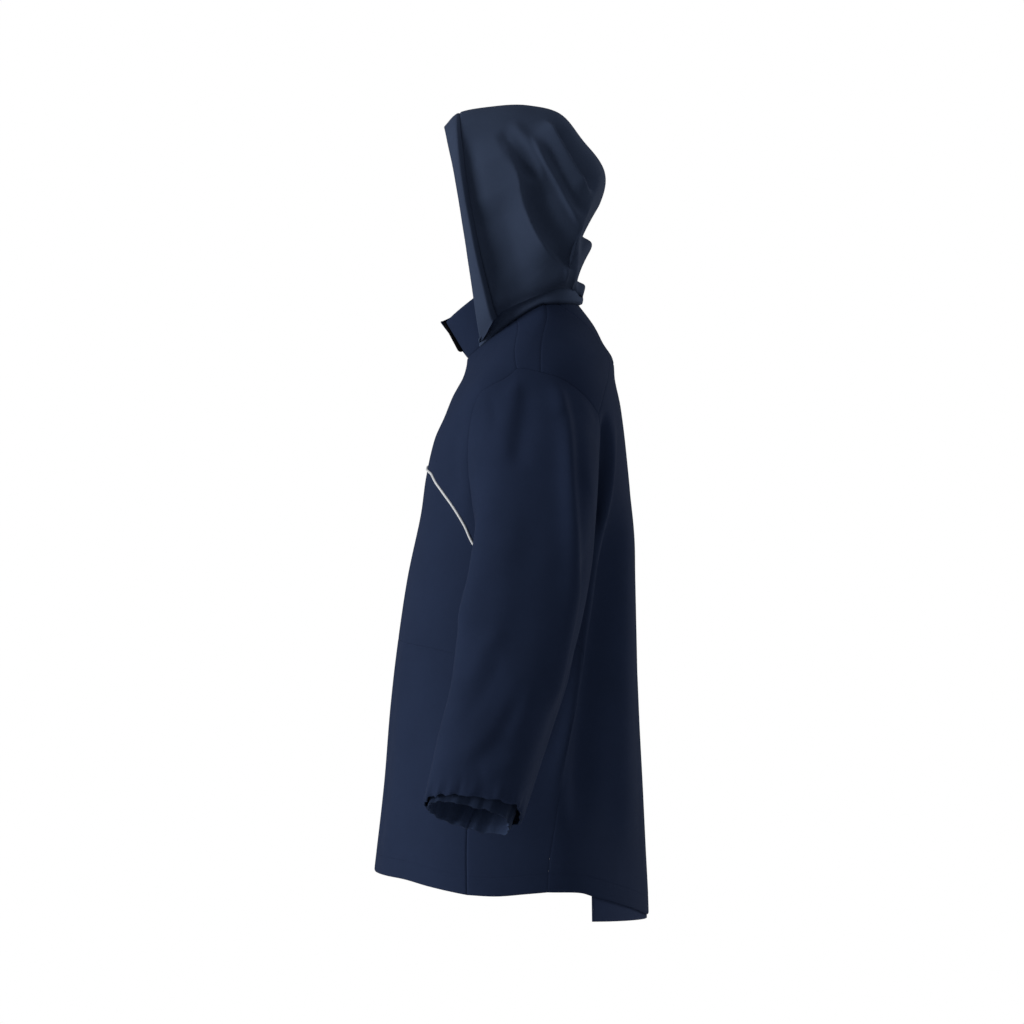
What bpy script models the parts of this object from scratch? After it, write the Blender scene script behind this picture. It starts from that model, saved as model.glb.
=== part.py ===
"""Hooded training jacket, zipped up and filled out as if worn, with nobody in it.

Every piece that a maker cuts is one closed wall of cloth.  The frame has +X to the wearer's
left, -Y to the front and +Z up, and its origin is the middle of the neck ring.  Metres.
"""
import math
from collections import namedtuple

import bmesh
import bpy
from mathutils import Vector

# ---------------------------------------------------------------- driving dimensions
WALL = 0.0020              # softshell cloth
COLLAR_WALL = 0.0022
CUFF_WALL = 0.0016
SEAM_GAP = 0.0004          # between two pieces that are sewn together
HALF_GAP = SEAM_GAP / 2
PIPING_RADIUS = 0.0017
PIPING_SIDES = 6
PIPING_ROOM = PIPING_RADIUS + SEAM_GAP
PIPING_PROUD = 0.0006      # centre of the cord above the cloth's face
ZIP_SLOT = 0.0016          # half of the opening between the two front edges
ZIP_HALF_WIDTH = 0.0090
ZIP_WALL = 0.0014
ZIP_BEHIND = 0.0008
ZIP_END = 0.0010           # zip stops this far inside the hem and the collar's top
FLAP_BEHIND = 0.0008       # inner tail behind the back's inner face
FLAP_HEM_SIDE = 0.829      # drop of the inner tail's hem at its two ends
FLAP_HEM_BACK = 0.850      # and at the centre back
FLAP_ROW = 5               # the inner tail starts at this row and column of the back's skirt,
FLAP_COLUMN = 2            # where HEM_TAIL starts

SMALL_STEP = 0.002         # in turn and drop, to find how a surface faces
HOOD_STEP = 0.01           # in station and rise, likewise
STRAIGHT_BORDER = 0.98     # two border edges that point nearly the same way

FRONT = "centre front"
BACK = "centre back"
NECK = "neck ring"

# The body as rings, each a superellipse.  A ring dips from its side to its front and back.
Ring = namedtuple("Ring", "drop z_front z_side z_back y_front y_side y_back half_width square bow")
BODY_RINGS = (
    Ring(0.000, -0.042, 0.033, 0.036, -0.084, 0.026, 0.077, 0.078, 2.10, 1.2),
    Ring(0.020, -0.054, 0.012, 0.006, -0.0855, 0.024, 0.099, 0.116, 2.15, 1.4),
    Ring(0.045, -0.072, -0.014, -0.020, -0.091, 0.015, 0.113, 0.160, 2.20, 1.6),
    Ring(0.070, -0.098, -0.040, -0.043, -0.105, 0.008, 0.127, 0.196, 2.30, 1.8),
    Ring(0.100, -0.128, -0.068, -0.074, -0.117, 0.005, 0.130, 0.216, 2.50, 2.0),
    Ring(0.140, -0.160, -0.115, -0.115, -0.131, 0.005, 0.138, 0.222, 2.60, 2.0),
    Ring(0.200, -0.212, -0.195, -0.190, -0.143, 0.006, 0.147, 0.224, 2.70, 2.0),
    Ring(0.270, -0.270, -0.270, -0.270, -0.151, 0.005, 0.154, 0.226, 2.70, 2.0),
    Ring(0.360, -0.360, -0.360, -0.360, -0.170, 0.000, 0.158, 0.234, 2.50, 2.0),
    Ring(0.450, -0.450, -0.450, -0.450, -0.184, -0.005, 0.161, 0.243, 2.40, 2.0),
    Ring(0.540, -0.540, -0.540, -0.540, -0.1945, -0.010, 0.165, 0.253, 2.30, 2.0),
    Ring(0.650, -0.650, -0.650, -0.650, -0.203, -0.014, 0.170, 0.267, 2.20, 2.0),
    Ring(0.770, -0.770, -0.770, -0.770, -0.216, -0.018, 0.176, 0.283, 2.20, 2.0),
    Ring(0.870, -0.870, -0.870, -0.870, -0.226, -0.020, 0.180, 0.293, 2.20, 2.0),
)

# Sewing lines on the left half, as (y, z) seen square from the side, cut into equal steps.
Seam = namedtuple("Seam", "steps path")
NECK_FRONT = Seam(4, ((FRONT, NECK), (-0.066, NECK), (-0.013, NECK)))
NECK_STRIP = Seam(2, ((-0.013, NECK), (0.030, NECK)))
NECK_BLADE = Seam(1, ((0.030, NECK), (0.046, NECK)))
NECK_YOKE = Seam(4, ((0.046, NECK), (0.068, NECK), (BACK, NECK)))
STRIP_FRONT = Seam(3, ((-0.013, NECK), (-0.0145, -0.031), (-0.012, -0.065)))
STRIP_BACK = Seam(3, ((0.030, NECK), (0.0245, -0.015), (0.0215, -0.070)))
YOKE_SIDE = Seam(3, ((0.046, NECK), (0.074, 0.014), (0.099, -0.012), (0.1195, -0.048)))
YOKE_HEM = Seam(4, ((0.1195, -0.048), (0.126, -0.050), (BACK, -0.051)))
PRINCESS = Seam(3, ((0.1195, -0.048), (0.118, -0.069), (0.111, -0.096), (0.102, -0.127)))
ARMHOLE_TOP = Seam(2, ((-0.012, -0.065), (0.005, -0.066), (0.0215, -0.070)))
ARMHOLE_FRONT = Seam(7, ((-0.012, -0.065), (-0.027, -0.078), (-0.045, -0.089), (-0.060, -0.101),
                         (-0.070, -0.125), (-0.076, -0.160), (-0.077, -0.195),
                         (-0.073, -0.235)))
ARMHOLE_BLADE = Seam(4, ((0.0215, -0.070), (0.050, -0.079), (0.081, -0.101), (0.102, -0.127)))
ARMHOLE_BACK = Seam(4, ((0.102, -0.127), (0.107, -0.160), (0.107, -0.195), (0.102, -0.235)))
UNDERARM_FRONT = Seam(3, ((-0.073, -0.235), (-0.058, -0.270), (-0.028, -0.296), (0.012, -0.306)))
UNDERARM_BACK = Seam(4, ((0.012, -0.306), (0.050, -0.298), (0.084, -0.272), (0.102, -0.235)))
PIPING = Seam(10, ((FRONT, -0.198), (-0.133, -0.2095), (-0.124, -0.225), (-0.111, -0.243),
                   (-0.098, -0.260), (-0.085, -0.282), (-0.072, -0.309), (-0.048, -0.332),
                   (-0.022, -0.345), (0.004, -0.349)))
WAIST_FRONT = Seam(10, ((FRONT, -0.445), (-0.146, -0.451), (-0.101, -0.459), (-0.066, -0.464),
                        (-0.034, -0.466)))
WAIST_BACK = Seam(4, ((-0.034, -0.466), (0.010, -0.457), (0.040, -0.444), (0.058, -0.441),
                      (0.069, -0.446), (0.076, -0.459)))
BACK_SIDE = Seam(8, ((0.076, -0.459), (0.072, -0.505), (0.0615, -0.550), (0.050, -0.608),
                     (0.042, -0.678), (0.032, -0.748), (0.030, -0.785)))
SIDE_TOP = Seam(2, ((0.012, -0.306), (0.004, -0.349)))
SIDE_MIDDLE = Seam(5, ((0.004, -0.349), (-0.010, -0.400), (-0.034, -0.466)))
SIDE_LOW = Seam(8, ((-0.034, -0.466), (-0.056, -0.545), (-0.072, -0.620), (-0.081, -0.700),
                    (-0.081, -0.789)))
HEM_FRONT = Seam(10, ((FRONT, -0.780), (-0.190, -0.776), (-0.166, -0.776), (-0.134, -0.781),
                      (-0.108, -0.785), (-0.081, -0.789)))
HEM_SIDE = Seam(4, ((-0.081, -0.789), (-0.040, -0.790), (0.000, -0.787), (0.030, -0.785)))
HEM_BACK = Seam(2, ((0.030, -0.785), (0.074, -0.788), (0.094, -0.795)))
HEM_TAIL = Seam(5, ((0.094, -0.795), (0.106, -0.799), (0.134, -0.811), (0.155, -0.823),
                    (0.172, -0.837), (BACK, -0.843)))
EDGE_CHEST = Seam(7, ((FRONT, NECK), (FRONT, -0.110), (FRONT, -0.165)))
EDGE_PIPING = Seam(2, ((FRONT, -0.165), (FRONT, -0.198)))
EDGE_MIDDLE = Seam(5, ((FRONT, -0.198), (FRONT, -0.320), (FRONT, -0.445)))
EDGE_SKIRT = Seam(8, ((FRONT, -0.445), (FRONT, -0.600), (FRONT, -0.780)))
SPINE_YOKE = Seam(3, ((BACK, NECK), (BACK, -0.051)))
SPINE_CHEST = Seam(4, ((BACK, -0.051), (BACK, -0.235)))
SPINE_MIDDLE = Seam(7, ((BACK, -0.235), (BACK, -0.400), (BACK, -0.475)))
SPINE_SKIRT = Seam(8, ((BACK, -0.475), (BACK, -0.650), (BACK, -0.843)))
# Lines inside a panel, where the rows of its cloth change direction.
CHEST_LINE = Seam(7, ((FRONT, -0.165), (-0.115, -0.200), (-0.073, -0.235)))
BLADE_LINE = Seam(7, ((0.102, -0.235), (0.135, -0.235), (BACK, -0.235)))
LOIN_LINE = Seam(7, ((0.076, -0.459), (0.120, -0.468), (BACK, -0.475)))

# Large folds, as (y, z) seen square from the side: a ridge stands proud, a trough sinks.
Fold = namedtuple("Fold", "height half_width path")
BODY_FOLDS = (
    Fold(0.0035, 0.024, ((-0.140, -0.300), (-0.146, -0.413), (-0.153, -0.524))),
    Fold(0.0070, 0.016, ((0.124, -0.120), (0.126, -0.165), (0.116, -0.233), (0.104, -0.303),
                         (0.095, -0.357), (0.084, -0.430))),
    Fold(-0.0060, 0.018, ((0.112, -0.165), (0.100, -0.235), (0.086, -0.303), (0.074, -0.357))),
)

# Sleeve rings from shoulder to wrist, given by their outer and their inner edge.
# A ring with a tilt is lower at its back.
Cuffline = namedtuple("Cuffline", "way x_out z_out x_in z_in y_middle half_depth square tilt")
SLEEVE_RINGS = (
    Cuffline(0.00, 0.224, -0.072, 0.228, -0.304, 0.014, 0.091, 2.2, 0.00),
    Cuffline(0.12, 0.256, -0.135, 0.245, -0.350, 0.014, 0.086, 2.2, 0.00),
    Cuffline(0.25, 0.293, -0.208, 0.265, -0.401, 0.0105, 0.0805, 2.2, 0.02),
    Cuffline(0.40, 0.333, -0.292, 0.288, -0.458, -0.002, 0.079, 2.2, 0.05),
    Cuffline(0.55, 0.371, -0.379, 0.311, -0.516, -0.0185, 0.076, 2.2, 0.08),
    Cuffline(0.70, 0.408, -0.466, 0.335, -0.573, -0.032, 0.071, 2.2, 0.10),
    Cuffline(0.85, 0.445, -0.551, 0.358, -0.628, -0.052, 0.0685, 2.2, 0.12),
    Cuffline(1.00, 0.479, -0.636, 0.381, -0.683, -0.071, 0.066, 2.2, 0.13),
)
SLEEVE_STEPS = 12
SLEEVE_BLEND = 0.22        # share of the sleeve over which the armhole's shape fades out
SLEEVE_FOLDS_START = 0.13  # share of the sleeve over which its folds fade in
SLEEVE_FOLDS_SIDE = 0.5    # how far out the cloth faces where its folds are at full height
SLEEVE_FOLDS = (
    Fold(0.0060, 0.014, ((-0.028, -0.416), (-0.056, -0.447), (-0.072, -0.482), (-0.098, -0.525))),
    Fold(-0.0070, 0.013, ((-0.011, -0.500), (-0.022, -0.525), (-0.036, -0.548))),
    Fold(0.0060, 0.014, ((-0.014, -0.468), (-0.034, -0.505), (-0.060, -0.530), (-0.088, -0.545))),
    Fold(0.0050, 0.016, ((0.044, -0.095), (0.052, -0.170), (0.056, -0.235), (0.057, -0.345))),
    Fold(-0.0050, 0.014, ((-0.046, -0.120), (-0.052, -0.160), (-0.056, -0.200))),
)

# The elastic inner cuff starts on the sleeve's inner face and narrows to the wrist.
# Its last ring sticks out beyond the sleeve's end.
Cuff = namedtuple("Cuff", "sleeve_ring inset forward beyond")
CUFF_RINGS = (
    Cuff(10, 0.0029, 0.000, 0.000),
    Cuff(12, 0.0120, 0.006, 0.000),
    Cuff(12, 0.0125, 0.007, 0.009),
)

# Hood hoops from the face opening to the nape: each is an arch over the head, and its foot is
# joined to the neck ring at a turn.
Hoop = namedtuple("Hoop", "station turn y_base z_base x_base y_top z_top half_width lean")
HOOD_HOOPS = (
    Hoop(0, 0.20, -0.066, -0.027, 0.060, -0.118, 0.294, 0.104, 0.000),
    Hoop(1, 0.30, -0.042, 0.011, 0.092, -0.095, 0.315, 0.112, -0.008),
    Hoop(2, 0.37, -0.018, 0.025, 0.100, -0.048, 0.323, 0.117, -0.004),
    Hoop(3, 0.44, 0.005, 0.034, 0.102, 0.005, 0.325, 0.119, 0.000),
    Hoop(4, 0.51, 0.026, 0.042, 0.101, 0.050, 0.313, 0.119, 0.000),
    Hoop(5, 0.59, 0.043, 0.047, 0.097, 0.0855, 0.273, 0.116, 0.000),
    Hoop(6, 0.66, 0.056, 0.050, 0.090, 0.1155, 0.228, 0.110, 0.000),
    Hoop(7, 0.72, 0.065, 0.051, 0.081, 0.109, 0.183, 0.102, 0.000),
    Hoop(8, 0.78, 0.072, 0.051, 0.071, 0.088, 0.147, 0.088, 0.000),
    Hoop(9, 0.83, 0.077, 0.050, 0.060, 0.097, 0.122, 0.072, 0.000),
    Hoop(10, 0.88, 0.080, 0.048, 0.047, 0.079, 0.082, 0.054, 0.000),
    Hoop(11, 0.92, 0.083, 0.046, 0.033, 0.087, 0.064, 0.036, 0.000),
    Hoop(12, 0.96, 0.083, 0.044, 0.018, 0.083, 0.048, 0.018, 0.000),
)
HOOD_SQUARE = 2.25
HOOD_RISE_STEPS = 9
HOOD_BACK_STEPS = 11
HOOD_FOLD_FADE = 0.030     # folds die out this near to the centre seam
BRIM_STATION = 1.0
HOOD_FOLDS = (
    Fold(0.0080, 0.012, ((0.001, 0.183), (0.013, 0.155), (0.034, 0.118), (0.059, 0.085))),
    Fold(-0.0080, 0.014, ((0.022, 0.190), (0.036, 0.155), (0.056, 0.120), (0.074, 0.100))),
    Fold(0.0050, 0.013, ((0.040, 0.292), (0.066, 0.235), (0.086, 0.190), (0.098, 0.160))),
    Fold(0.0050, 0.020, ((-0.050, 0.300), (-0.044, 0.225), (-0.046, 0.180))),
)

# Stand collar: how far its top edge lies from the neck ring, from the front to the back.
Rise = namedtuple("Rise", "turn outward forward up")
COLLAR_RISES = (
    Rise(0.00, 0.000, 0.032, 0.053),
    Rise(0.20, 0.001, 0.027, 0.056),
    Rise(0.45, 0.002, 0.021, 0.057),
    Rise(0.70, 0.001, 0.020, 0.054),
    Rise(1.00, 0.000, 0.022, 0.050),
)
COLLAR_STEPS = 3
COLLAR_SET_IN = 0.0013     # collar's outer face inside the neck ring
COLLAR_LIFT = 0.0006
BAND_SET_OUT = 0.0021      # hood band's outer face outside the neck ring
BAND_LIFT = 0.0002
BAND_BEHIND = 0.0009       # band's top edge behind the hood's inner face

# name: base colour, roughness
FINISHES = {
    "jacket_cloth": ((0.020, 0.028, 0.052), 0.85),
    "hood_cloth": ((0.026, 0.034, 0.060), 0.80),
    "collar_cloth": ((0.020, 0.028, 0.052), 0.85),
    "cuff_knit": ((0.012, 0.016, 0.030), 0.90),
    "piping_cord": ((0.780, 0.790, 0.800), 0.55),
    "zip_tape": ((0.008, 0.008, 0.010), 0.60),
}


# ---------------------------------------------------------------- tables read as smooth curves
def row_at(rows, key):
    """The row of a table at any value of its first column, on a smooth curve through the rows."""
    key = min(max(key, rows[0][0]), rows[-1][0])
    low = max(i for i in range(len(rows) - 1) if rows[i][0] <= key)
    here, there = rows[low], rows[low + 1]
    before, after = rows[max(low - 1, 0)], rows[min(low + 2, len(rows) - 1)]
    span = there[0] - here[0]
    t = (key - here[0]) / span
    values = [key]
    for column in range(1, len(here)):
        start, end = here[column], there[column]
        slope_in = (end - before[column]) / (there[0] - before[0]) * span
        slope_out = (after[column] - start) / (after[0] - here[0]) * span
        values.append((2 * t**3 - 3 * t**2 + 1) * start + (t**3 - 2 * t**2 + t) * slope_in
                      + (3 * t**2 - 2 * t**3) * end + (t**3 - t**2) * slope_out)
    return type(here)(*values)


def steps(start, end, count):
    return [start + (end - start) * i / count for i in range(count + 1)]


def superellipse(angle, square):
    """Across and along shares of a rounded square at an angle from its front."""
    across, along = math.sin(angle), -math.cos(angle)
    reach = (abs(across)**square + abs(along)**square) ** (-1 / square)
    return across * reach, along * reach


def path_distance(y, z, path):
    """Shortest distance in the side view from a point to a path."""
    best = 1.0
    for (y0, z0), (y1, z1) in zip(path, path[1:]):
        length_squared = (y1 - y0)**2 + (z1 - z0)**2
        share = ((y - y0) * (y1 - y0) + (z - z0) * (z1 - z0)) / length_squared
        share = min(max(share, 0.0), 1.0)
        best = min(best, math.hypot(y - y0 - share * (y1 - y0), z - z0 - share * (z1 - z0)))
    return best


def fold_height(point, folds):
    return sum(fold.height * math.exp(-(path_distance(point.y, point.z, fold.path)
                                        / fold.half_width)**2)
               for fold in folds)


def facing(surface, turn, drop):
    """Unit normal of surface(turn, drop), where turn grows to the back and drop downward."""
    along = surface(turn + SMALL_STEP, drop) - surface(turn - SMALL_STEP, drop)
    down = surface(turn, drop + SMALL_STEP) - surface(turn, max(drop - SMALL_STEP, 0.0))
    return down.cross(along).normalized()


# ---------------------------------------------------------------- body surface
def smooth_body(turn, drop):
    """Turn runs from 0 at the centre front, by 1 at the centre back, to 2."""
    ring = row_at(BODY_RINGS, drop)
    across, along = superellipse(math.pi * turn, ring.square)
    y_end, z_end = (ring.y_front, ring.z_front) if along < 0 else (ring.y_back, ring.z_back)
    share = abs(along)
    return Vector((ring.half_width * across,
                   ring.y_side + (y_end - ring.y_side) * share,
                   ring.z_side + (z_end - ring.z_side) * share**ring.bow))


def body(turn, drop):
    point = smooth_body(turn, drop)
    return point + facing(smooth_body, turn, drop) * fold_height(point, BODY_FOLDS)


def body_face(turn, drop):
    return facing(body, turn, drop)


def halve(low, high, too_small):
    for _ in range(30):
        middle = (low + high) / 2
        if too_small(middle):
            low = middle
        else:
            high = middle
    return (low + high) / 2


def drop_at(turn, z):
    return halve(0.0, BODY_RINGS[-1].drop, lambda drop: smooth_body(turn, drop).z > z)


def place(y, z):
    """Turn and drop of the left half's point at (y, z), seen from the side."""
    def drop_for(turn):
        return 0.0 if z == NECK else drop_at(turn, z)

    if y == FRONT:
        turn = 0.0
    elif y == BACK:
        turn = 1.0
    else:
        turn = halve(0.0, 1.0, lambda share: smooth_body(share, drop_for(share)).y < y)
    return turn, drop_for(turn)


def trace(seam):
    """The seam as (turn, drop) points at equal steps along its length."""
    Mark = namedtuple("Mark", "length turn drop")
    marks = []
    for y, z in seam.path:
        turn, drop = place(y, z)
        length = 0.0
        if marks:
            step = smooth_body(turn, drop) - smooth_body(marks[-1].turn, marks[-1].drop)
            length = marks[-1].length + step.length
        marks.append(Mark(length, turn, drop))
    spots = [row_at(marks, marks[-1].length * i / seam.steps) for i in range(seam.steps + 1)]
    return [(spot.turn, max(spot.drop, 0.0)) for spot in spots]


def join(*lines):
    joined = list(lines[0])
    for line in lines[1:]:
        joined += line[1:]
    return joined


def both_halves(grid):
    """A grid of the left half and its mirror on the right half."""
    return [grid, [[(2 - turn, drop) for turn, drop in reversed(row)] for row in grid]]


def spread(top, bottom, front, back):
    """Rows of (turn, drop) points inside four border lines."""
    rows, columns = len(front) - 1, len(top) - 1
    if len(bottom) != len(top) or len(back) != len(front):
        raise ValueError("the borders of a panel don't match")
    grid = []
    for i in range(rows + 1):
        v = i / rows
        line = []
        for j in range(columns + 1):
            u = j / columns
            line.append(tuple(
                (1 - v) * top[j][k] + v * bottom[j][k] + (1 - u) * front[i][k] + u * back[i][k]
                - (1 - u) * (1 - v) * top[0][k] - u * (1 - v) * top[-1][k]
                - (1 - u) * v * bottom[0][k] - u * v * bottom[-1][k]
                for k in range(2)))
        grid.append(line)
    return grid


# ---------------------------------------------------------------- walls
def grid_faces(rows, columns, round_rows=False):
    """Four-sided faces of a grid whose points are numbered row by row, facing out."""
    faces = []
    for i in range(rows - 1):
        for j in range(columns if round_rows else columns - 1):
            k = (j + 1) % columns
            faces.append((i * columns + j, (i + 1) * columns + j,
                          (i + 1) * columns + k, i * columns + k))
    return faces


def border_edges(faces):
    """Edges that belong to one face only, each keeping the cloth on its left."""
    edges = {(face[k], face[(k + 1) % 4]) for face in faces for k in range(4)}
    return [(a, b) for a, b in edges if (b, a) not in edges]


def draw_in(points, normals, faces, room):
    """Move each border point square to its border, by room(a, b) for the edge from a to b."""
    before, after = {}, {}
    for a, b in border_edges(faces):
        normal = (normals[a] + normals[b]).normalized()
        inward = normal.cross(points[b] - points[a]).normalized()
        before[b] = after[a] = (inward, room(a, b))
    moved = list(points)
    for spot, (first, room_first) in before.items():
        second, room_second = after[spot]
        shared = first.dot(second)
        if abs(shared) > STRAIGHT_BORDER:
            moved[spot] = points[spot] + first * (room_first + room_second) / 2
            continue
        scale = 1 - shared * shared
        moved[spot] = (points[spot] + first * ((room_first - shared * room_second) / scale)
                       + second * ((room_second - shared * room_first) / scale))
    return moved


def wall(name, points, normals, faces, thickness, finish, mirrored=False):
    """A closed wall between a sheet and the same sheet moved in along its normals."""
    side = -1 if mirrored else 1
    mesh = bmesh.new()
    skin = [mesh.verts.new((point.x * side, point.y, point.z)) for point in points]
    inner = [point - normal * thickness for point, normal in zip(points, normals)]
    lining = [mesh.verts.new((point.x * side, point.y, point.z)) for point in inner]
    for face in faces:
        mesh.faces.new([skin[k] for k in face])
        mesh.faces.new([lining[k] for k in reversed(face)])
    for a, b in border_edges(faces):
        mesh.faces.new((skin[b], skin[a], lining[a], lining[b]))
    return finish_object(name, mesh, finish)


def grid_wall(name, rows, thickness, finish, round_rows=False, mirrored=False,
              room=HALF_GAP, side_room=HALF_GAP):
    """A wall whose sheet is one grid of points, drawn in along its borders."""
    columns = len(rows[0])
    flat = [point for row in rows for point in row]
    faces = grid_faces(len(rows), columns, round_rows)
    normals = [normal for row in grid_normals(rows, round_rows) for normal in row]

    def room_at(a, b):
        return side_room if a % columns == b % columns else room

    flat = draw_in(flat, normals, faces, room_at)
    return wall(name, flat, normals, faces, thickness, finish, mirrored)


def grid_normals(points, round_rows):
    """Unit normals of a grid whose rows run down and whose columns run to the back."""
    rows, columns = len(points), len(points[0])
    normals = []
    for i in range(rows):
        line = []
        for j in range(columns):
            before, after = j - 1, (j + 1) % columns
            if not round_rows:
                before, after = max(j - 1, 0), min(j + 1, columns - 1)
            along = points[i][after] - points[i][before]
            down = points[min(i + 1, rows - 1)][j] - points[max(i - 1, 0)][j]
            line.append(down.cross(along).normalized())
        normals.append(line)
    return normals


def finish_object(name, mesh, finish):
    bmesh.ops.recalc_face_normals(mesh, faces=mesh.faces)
    data = bpy.data.meshes.new(name)
    mesh.to_mesh(data)
    mesh.free()
    data.shade_smooth()
    data.set_sharp_from_angle(angle=math.radians(50))
    data.materials.append(material(finish))
    part = bpy.data.objects.new(name, data)
    bpy.context.scene.collection.objects.link(part)
    return part


def material(name):
    if name in bpy.data.materials:
        return bpy.data.materials[name]
    colour, roughness = FINISHES[name]
    made = bpy.data.materials.new(name)
    made.use_nodes = True
    shader = made.node_tree.nodes["Principled BSDF"]
    shader.inputs["Base Color"].default_value = (*colour, 1.0)
    shader.inputs["Roughness"].default_value = roughness
    shader.inputs["Metallic"].default_value = 0.0
    return made


def spot_key(spot):
    return round(spot[0], 5), round(spot[1], 5)


def panel(name, grids, mirrored=False, rooms=(), inward=0.0):
    """A body piece from one or more grids of (turn, drop) points that share their borders.

    Each of rooms is a seam with the space that the piece leaves on its side of it.
    """
    index, spots, faces = {}, [], []
    for grid in grids:
        flat = [spot for row in grid for spot in row]
        for spot in flat:
            if spot_key(spot) not in index:
                index[spot_key(spot)] = len(spots)
                spots.append(spot)
        faces += [tuple(index[spot_key(flat[k])] for k in face)
                  for face in grid_faces(len(grid), len(grid[0]))]
    normals = [body_face(turn, drop) for turn, drop in spots]
    points = [body(turn, drop) - normal * inward
              for (turn, drop), normal in zip(spots, normals)]
    lines = [({spot_key(spot) for spot in trace(seam)}, space) for seam, space in rooms]

    def room(a, b):
        ends = {spot_key(spots[a]), spot_key(spots[b])}
        return max([space for line, space in lines if ends <= line], default=HALF_GAP)

    points = draw_in(points, normals, faces, room)
    return wall(name, points, normals, faces, WALL, "jacket_cloth", mirrored)


def pair(name, grids, **more):
    for side in ("left", "right"):
        panel(f"{name}_{side}", grids, mirrored=side == "right", **more)


def tube(name, path, radius, sides, finish, mirrored=False):
    """A round cord along a path, closed at its ends."""
    side = -1 if mirrored else 1
    mesh = bmesh.new()
    rings = []
    across = (path[1] - path[0]).orthogonal()
    for i, point in enumerate(path):
        ahead = (path[min(i + 1, len(path) - 1)] - path[max(i - 1, 0)]).normalized()
        across = (across - ahead * across.dot(ahead)).normalized()
        upright = ahead.cross(across)
        ring = []
        for k in range(sides):
            angle = math.tau * k / sides
            spot = point + (across * math.cos(angle) + upright * math.sin(angle)) * radius
            ring.append(mesh.verts.new((spot.x * side, spot.y, spot.z)))
        rings.append(ring)
    for one, two in zip(rings, rings[1:]):
        for k in range(sides):
            mesh.faces.new((one[k], one[(k + 1) % sides], two[(k + 1) % sides], two[k]))
    mesh.faces.new(rings[0])
    mesh.faces.new(rings[-1])
    return finish_object(name, mesh, finish)


# ---------------------------------------------------------------- body pieces
def front_grids():
    """The left front's grids from the neck down, the first two in one piece."""
    chest = spread(top=join(trace(NECK_FRONT), trace(STRIP_FRONT)), bottom=trace(CHEST_LINE),
                   front=trace(EDGE_CHEST), back=trace(ARMHOLE_FRONT))
    under = spread(top=join(trace(CHEST_LINE), trace(UNDERARM_FRONT)), bottom=trace(PIPING),
                   front=trace(EDGE_PIPING), back=trace(SIDE_TOP))
    middle = spread(top=trace(PIPING), bottom=trace(WAIST_FRONT),
                    front=trace(EDGE_MIDDLE), back=trace(SIDE_MIDDLE))
    skirt = spread(top=trace(WAIST_FRONT), bottom=trace(HEM_FRONT),
                   front=trace(EDGE_SKIRT), back=trace(SIDE_LOW))
    return chest, under, middle, skirt


def build_fronts():
    chest, under, middle, skirt = front_grids()
    edges = [(edge, ZIP_SLOT) for edge in (EDGE_CHEST, EDGE_PIPING, EDGE_MIDDLE, EDGE_SKIRT)]
    beside_piping = [(PIPING, PIPING_ROOM)]
    pair("front_yoke", [chest, under], rooms=edges + beside_piping)
    pair("front_middle", [middle], rooms=edges + beside_piping)
    pair("front_skirt", [skirt], rooms=edges)


def build_sides():
    pair("side_skirt", [spread(top=trace(WAIST_BACK), bottom=trace(HEM_SIDE),
                               front=trace(SIDE_LOW), back=trace(BACK_SIDE))])


def build_shoulders():
    pair("shoulder_strip", [spread(top=trace(NECK_STRIP), bottom=trace(ARMHOLE_TOP),
                                   front=trace(STRIP_FRONT), back=trace(STRIP_BACK))])
    pair("shoulder_blade", [spread(top=join(trace(NECK_BLADE), trace(YOKE_SIDE)),
                                   bottom=trace(ARMHOLE_BLADE),
                                   front=trace(STRIP_BACK), back=trace(PRINCESS))])


def back_skirt():
    return spread(top=trace(LOIN_LINE), bottom=join(trace(HEM_BACK), trace(HEM_TAIL)),
                  front=trace(BACK_SIDE), back=trace(SPINE_SKIRT))


def build_back():
    yoke = spread(top=trace(NECK_YOKE), bottom=trace(YOKE_HEM),
                  front=trace(YOKE_SIDE), back=trace(SPINE_YOKE))
    panel("back_yoke", both_halves(yoke))
    chest = spread(top=join(trace(PRINCESS)[::-1], trace(YOKE_HEM)), bottom=trace(BLADE_LINE),
                   front=trace(ARMHOLE_BACK), back=trace(SPINE_CHEST))
    middle = spread(top=join(trace(UNDERARM_BACK), trace(BLADE_LINE)),
                    bottom=join(trace(WAIST_BACK), trace(LOIN_LINE)),
                    front=join(trace(SIDE_TOP), trace(SIDE_MIDDLE)), back=trace(SPINE_MIDDLE))
    panel("back", both_halves(chest) + both_halves(middle) + both_halves(back_skirt()))


def build_tail_flap():
    """The longer inner tail: the lower rows of the back, moved in and carried on down."""
    flap = [row[FLAP_COLUMN:] for row in back_skirt()[FLAP_ROW:]]
    last = len(flap[-1]) - 1
    flap.append([(turn, FLAP_HEM_SIDE + (FLAP_HEM_BACK - FLAP_HEM_SIDE) * j / last)
                 for j, (turn, _) in enumerate(flap[-1])])
    panel("tail_flap", both_halves(flap), inward=WALL + FLAP_BEHIND)


def build_piping():
    """A round cord standing in the open seam under the front yoke."""
    path = []
    for turn, drop in trace(PIPING):
        path.append(body(turn, drop) + body_face(turn, drop) * PIPING_PROUD)
    path[0] += (path[1] - path[0]).normalized() * ZIP_SLOT
    path[-1] += (path[-2] - path[-1]).normalized() * PIPING_ROOM
    for side in ("left", "right"):
        tube(f"chest_piping_{side}", path, PIPING_RADIUS, PIPING_SIDES, "piping_cord",
             mirrored=side == "right")


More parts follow.
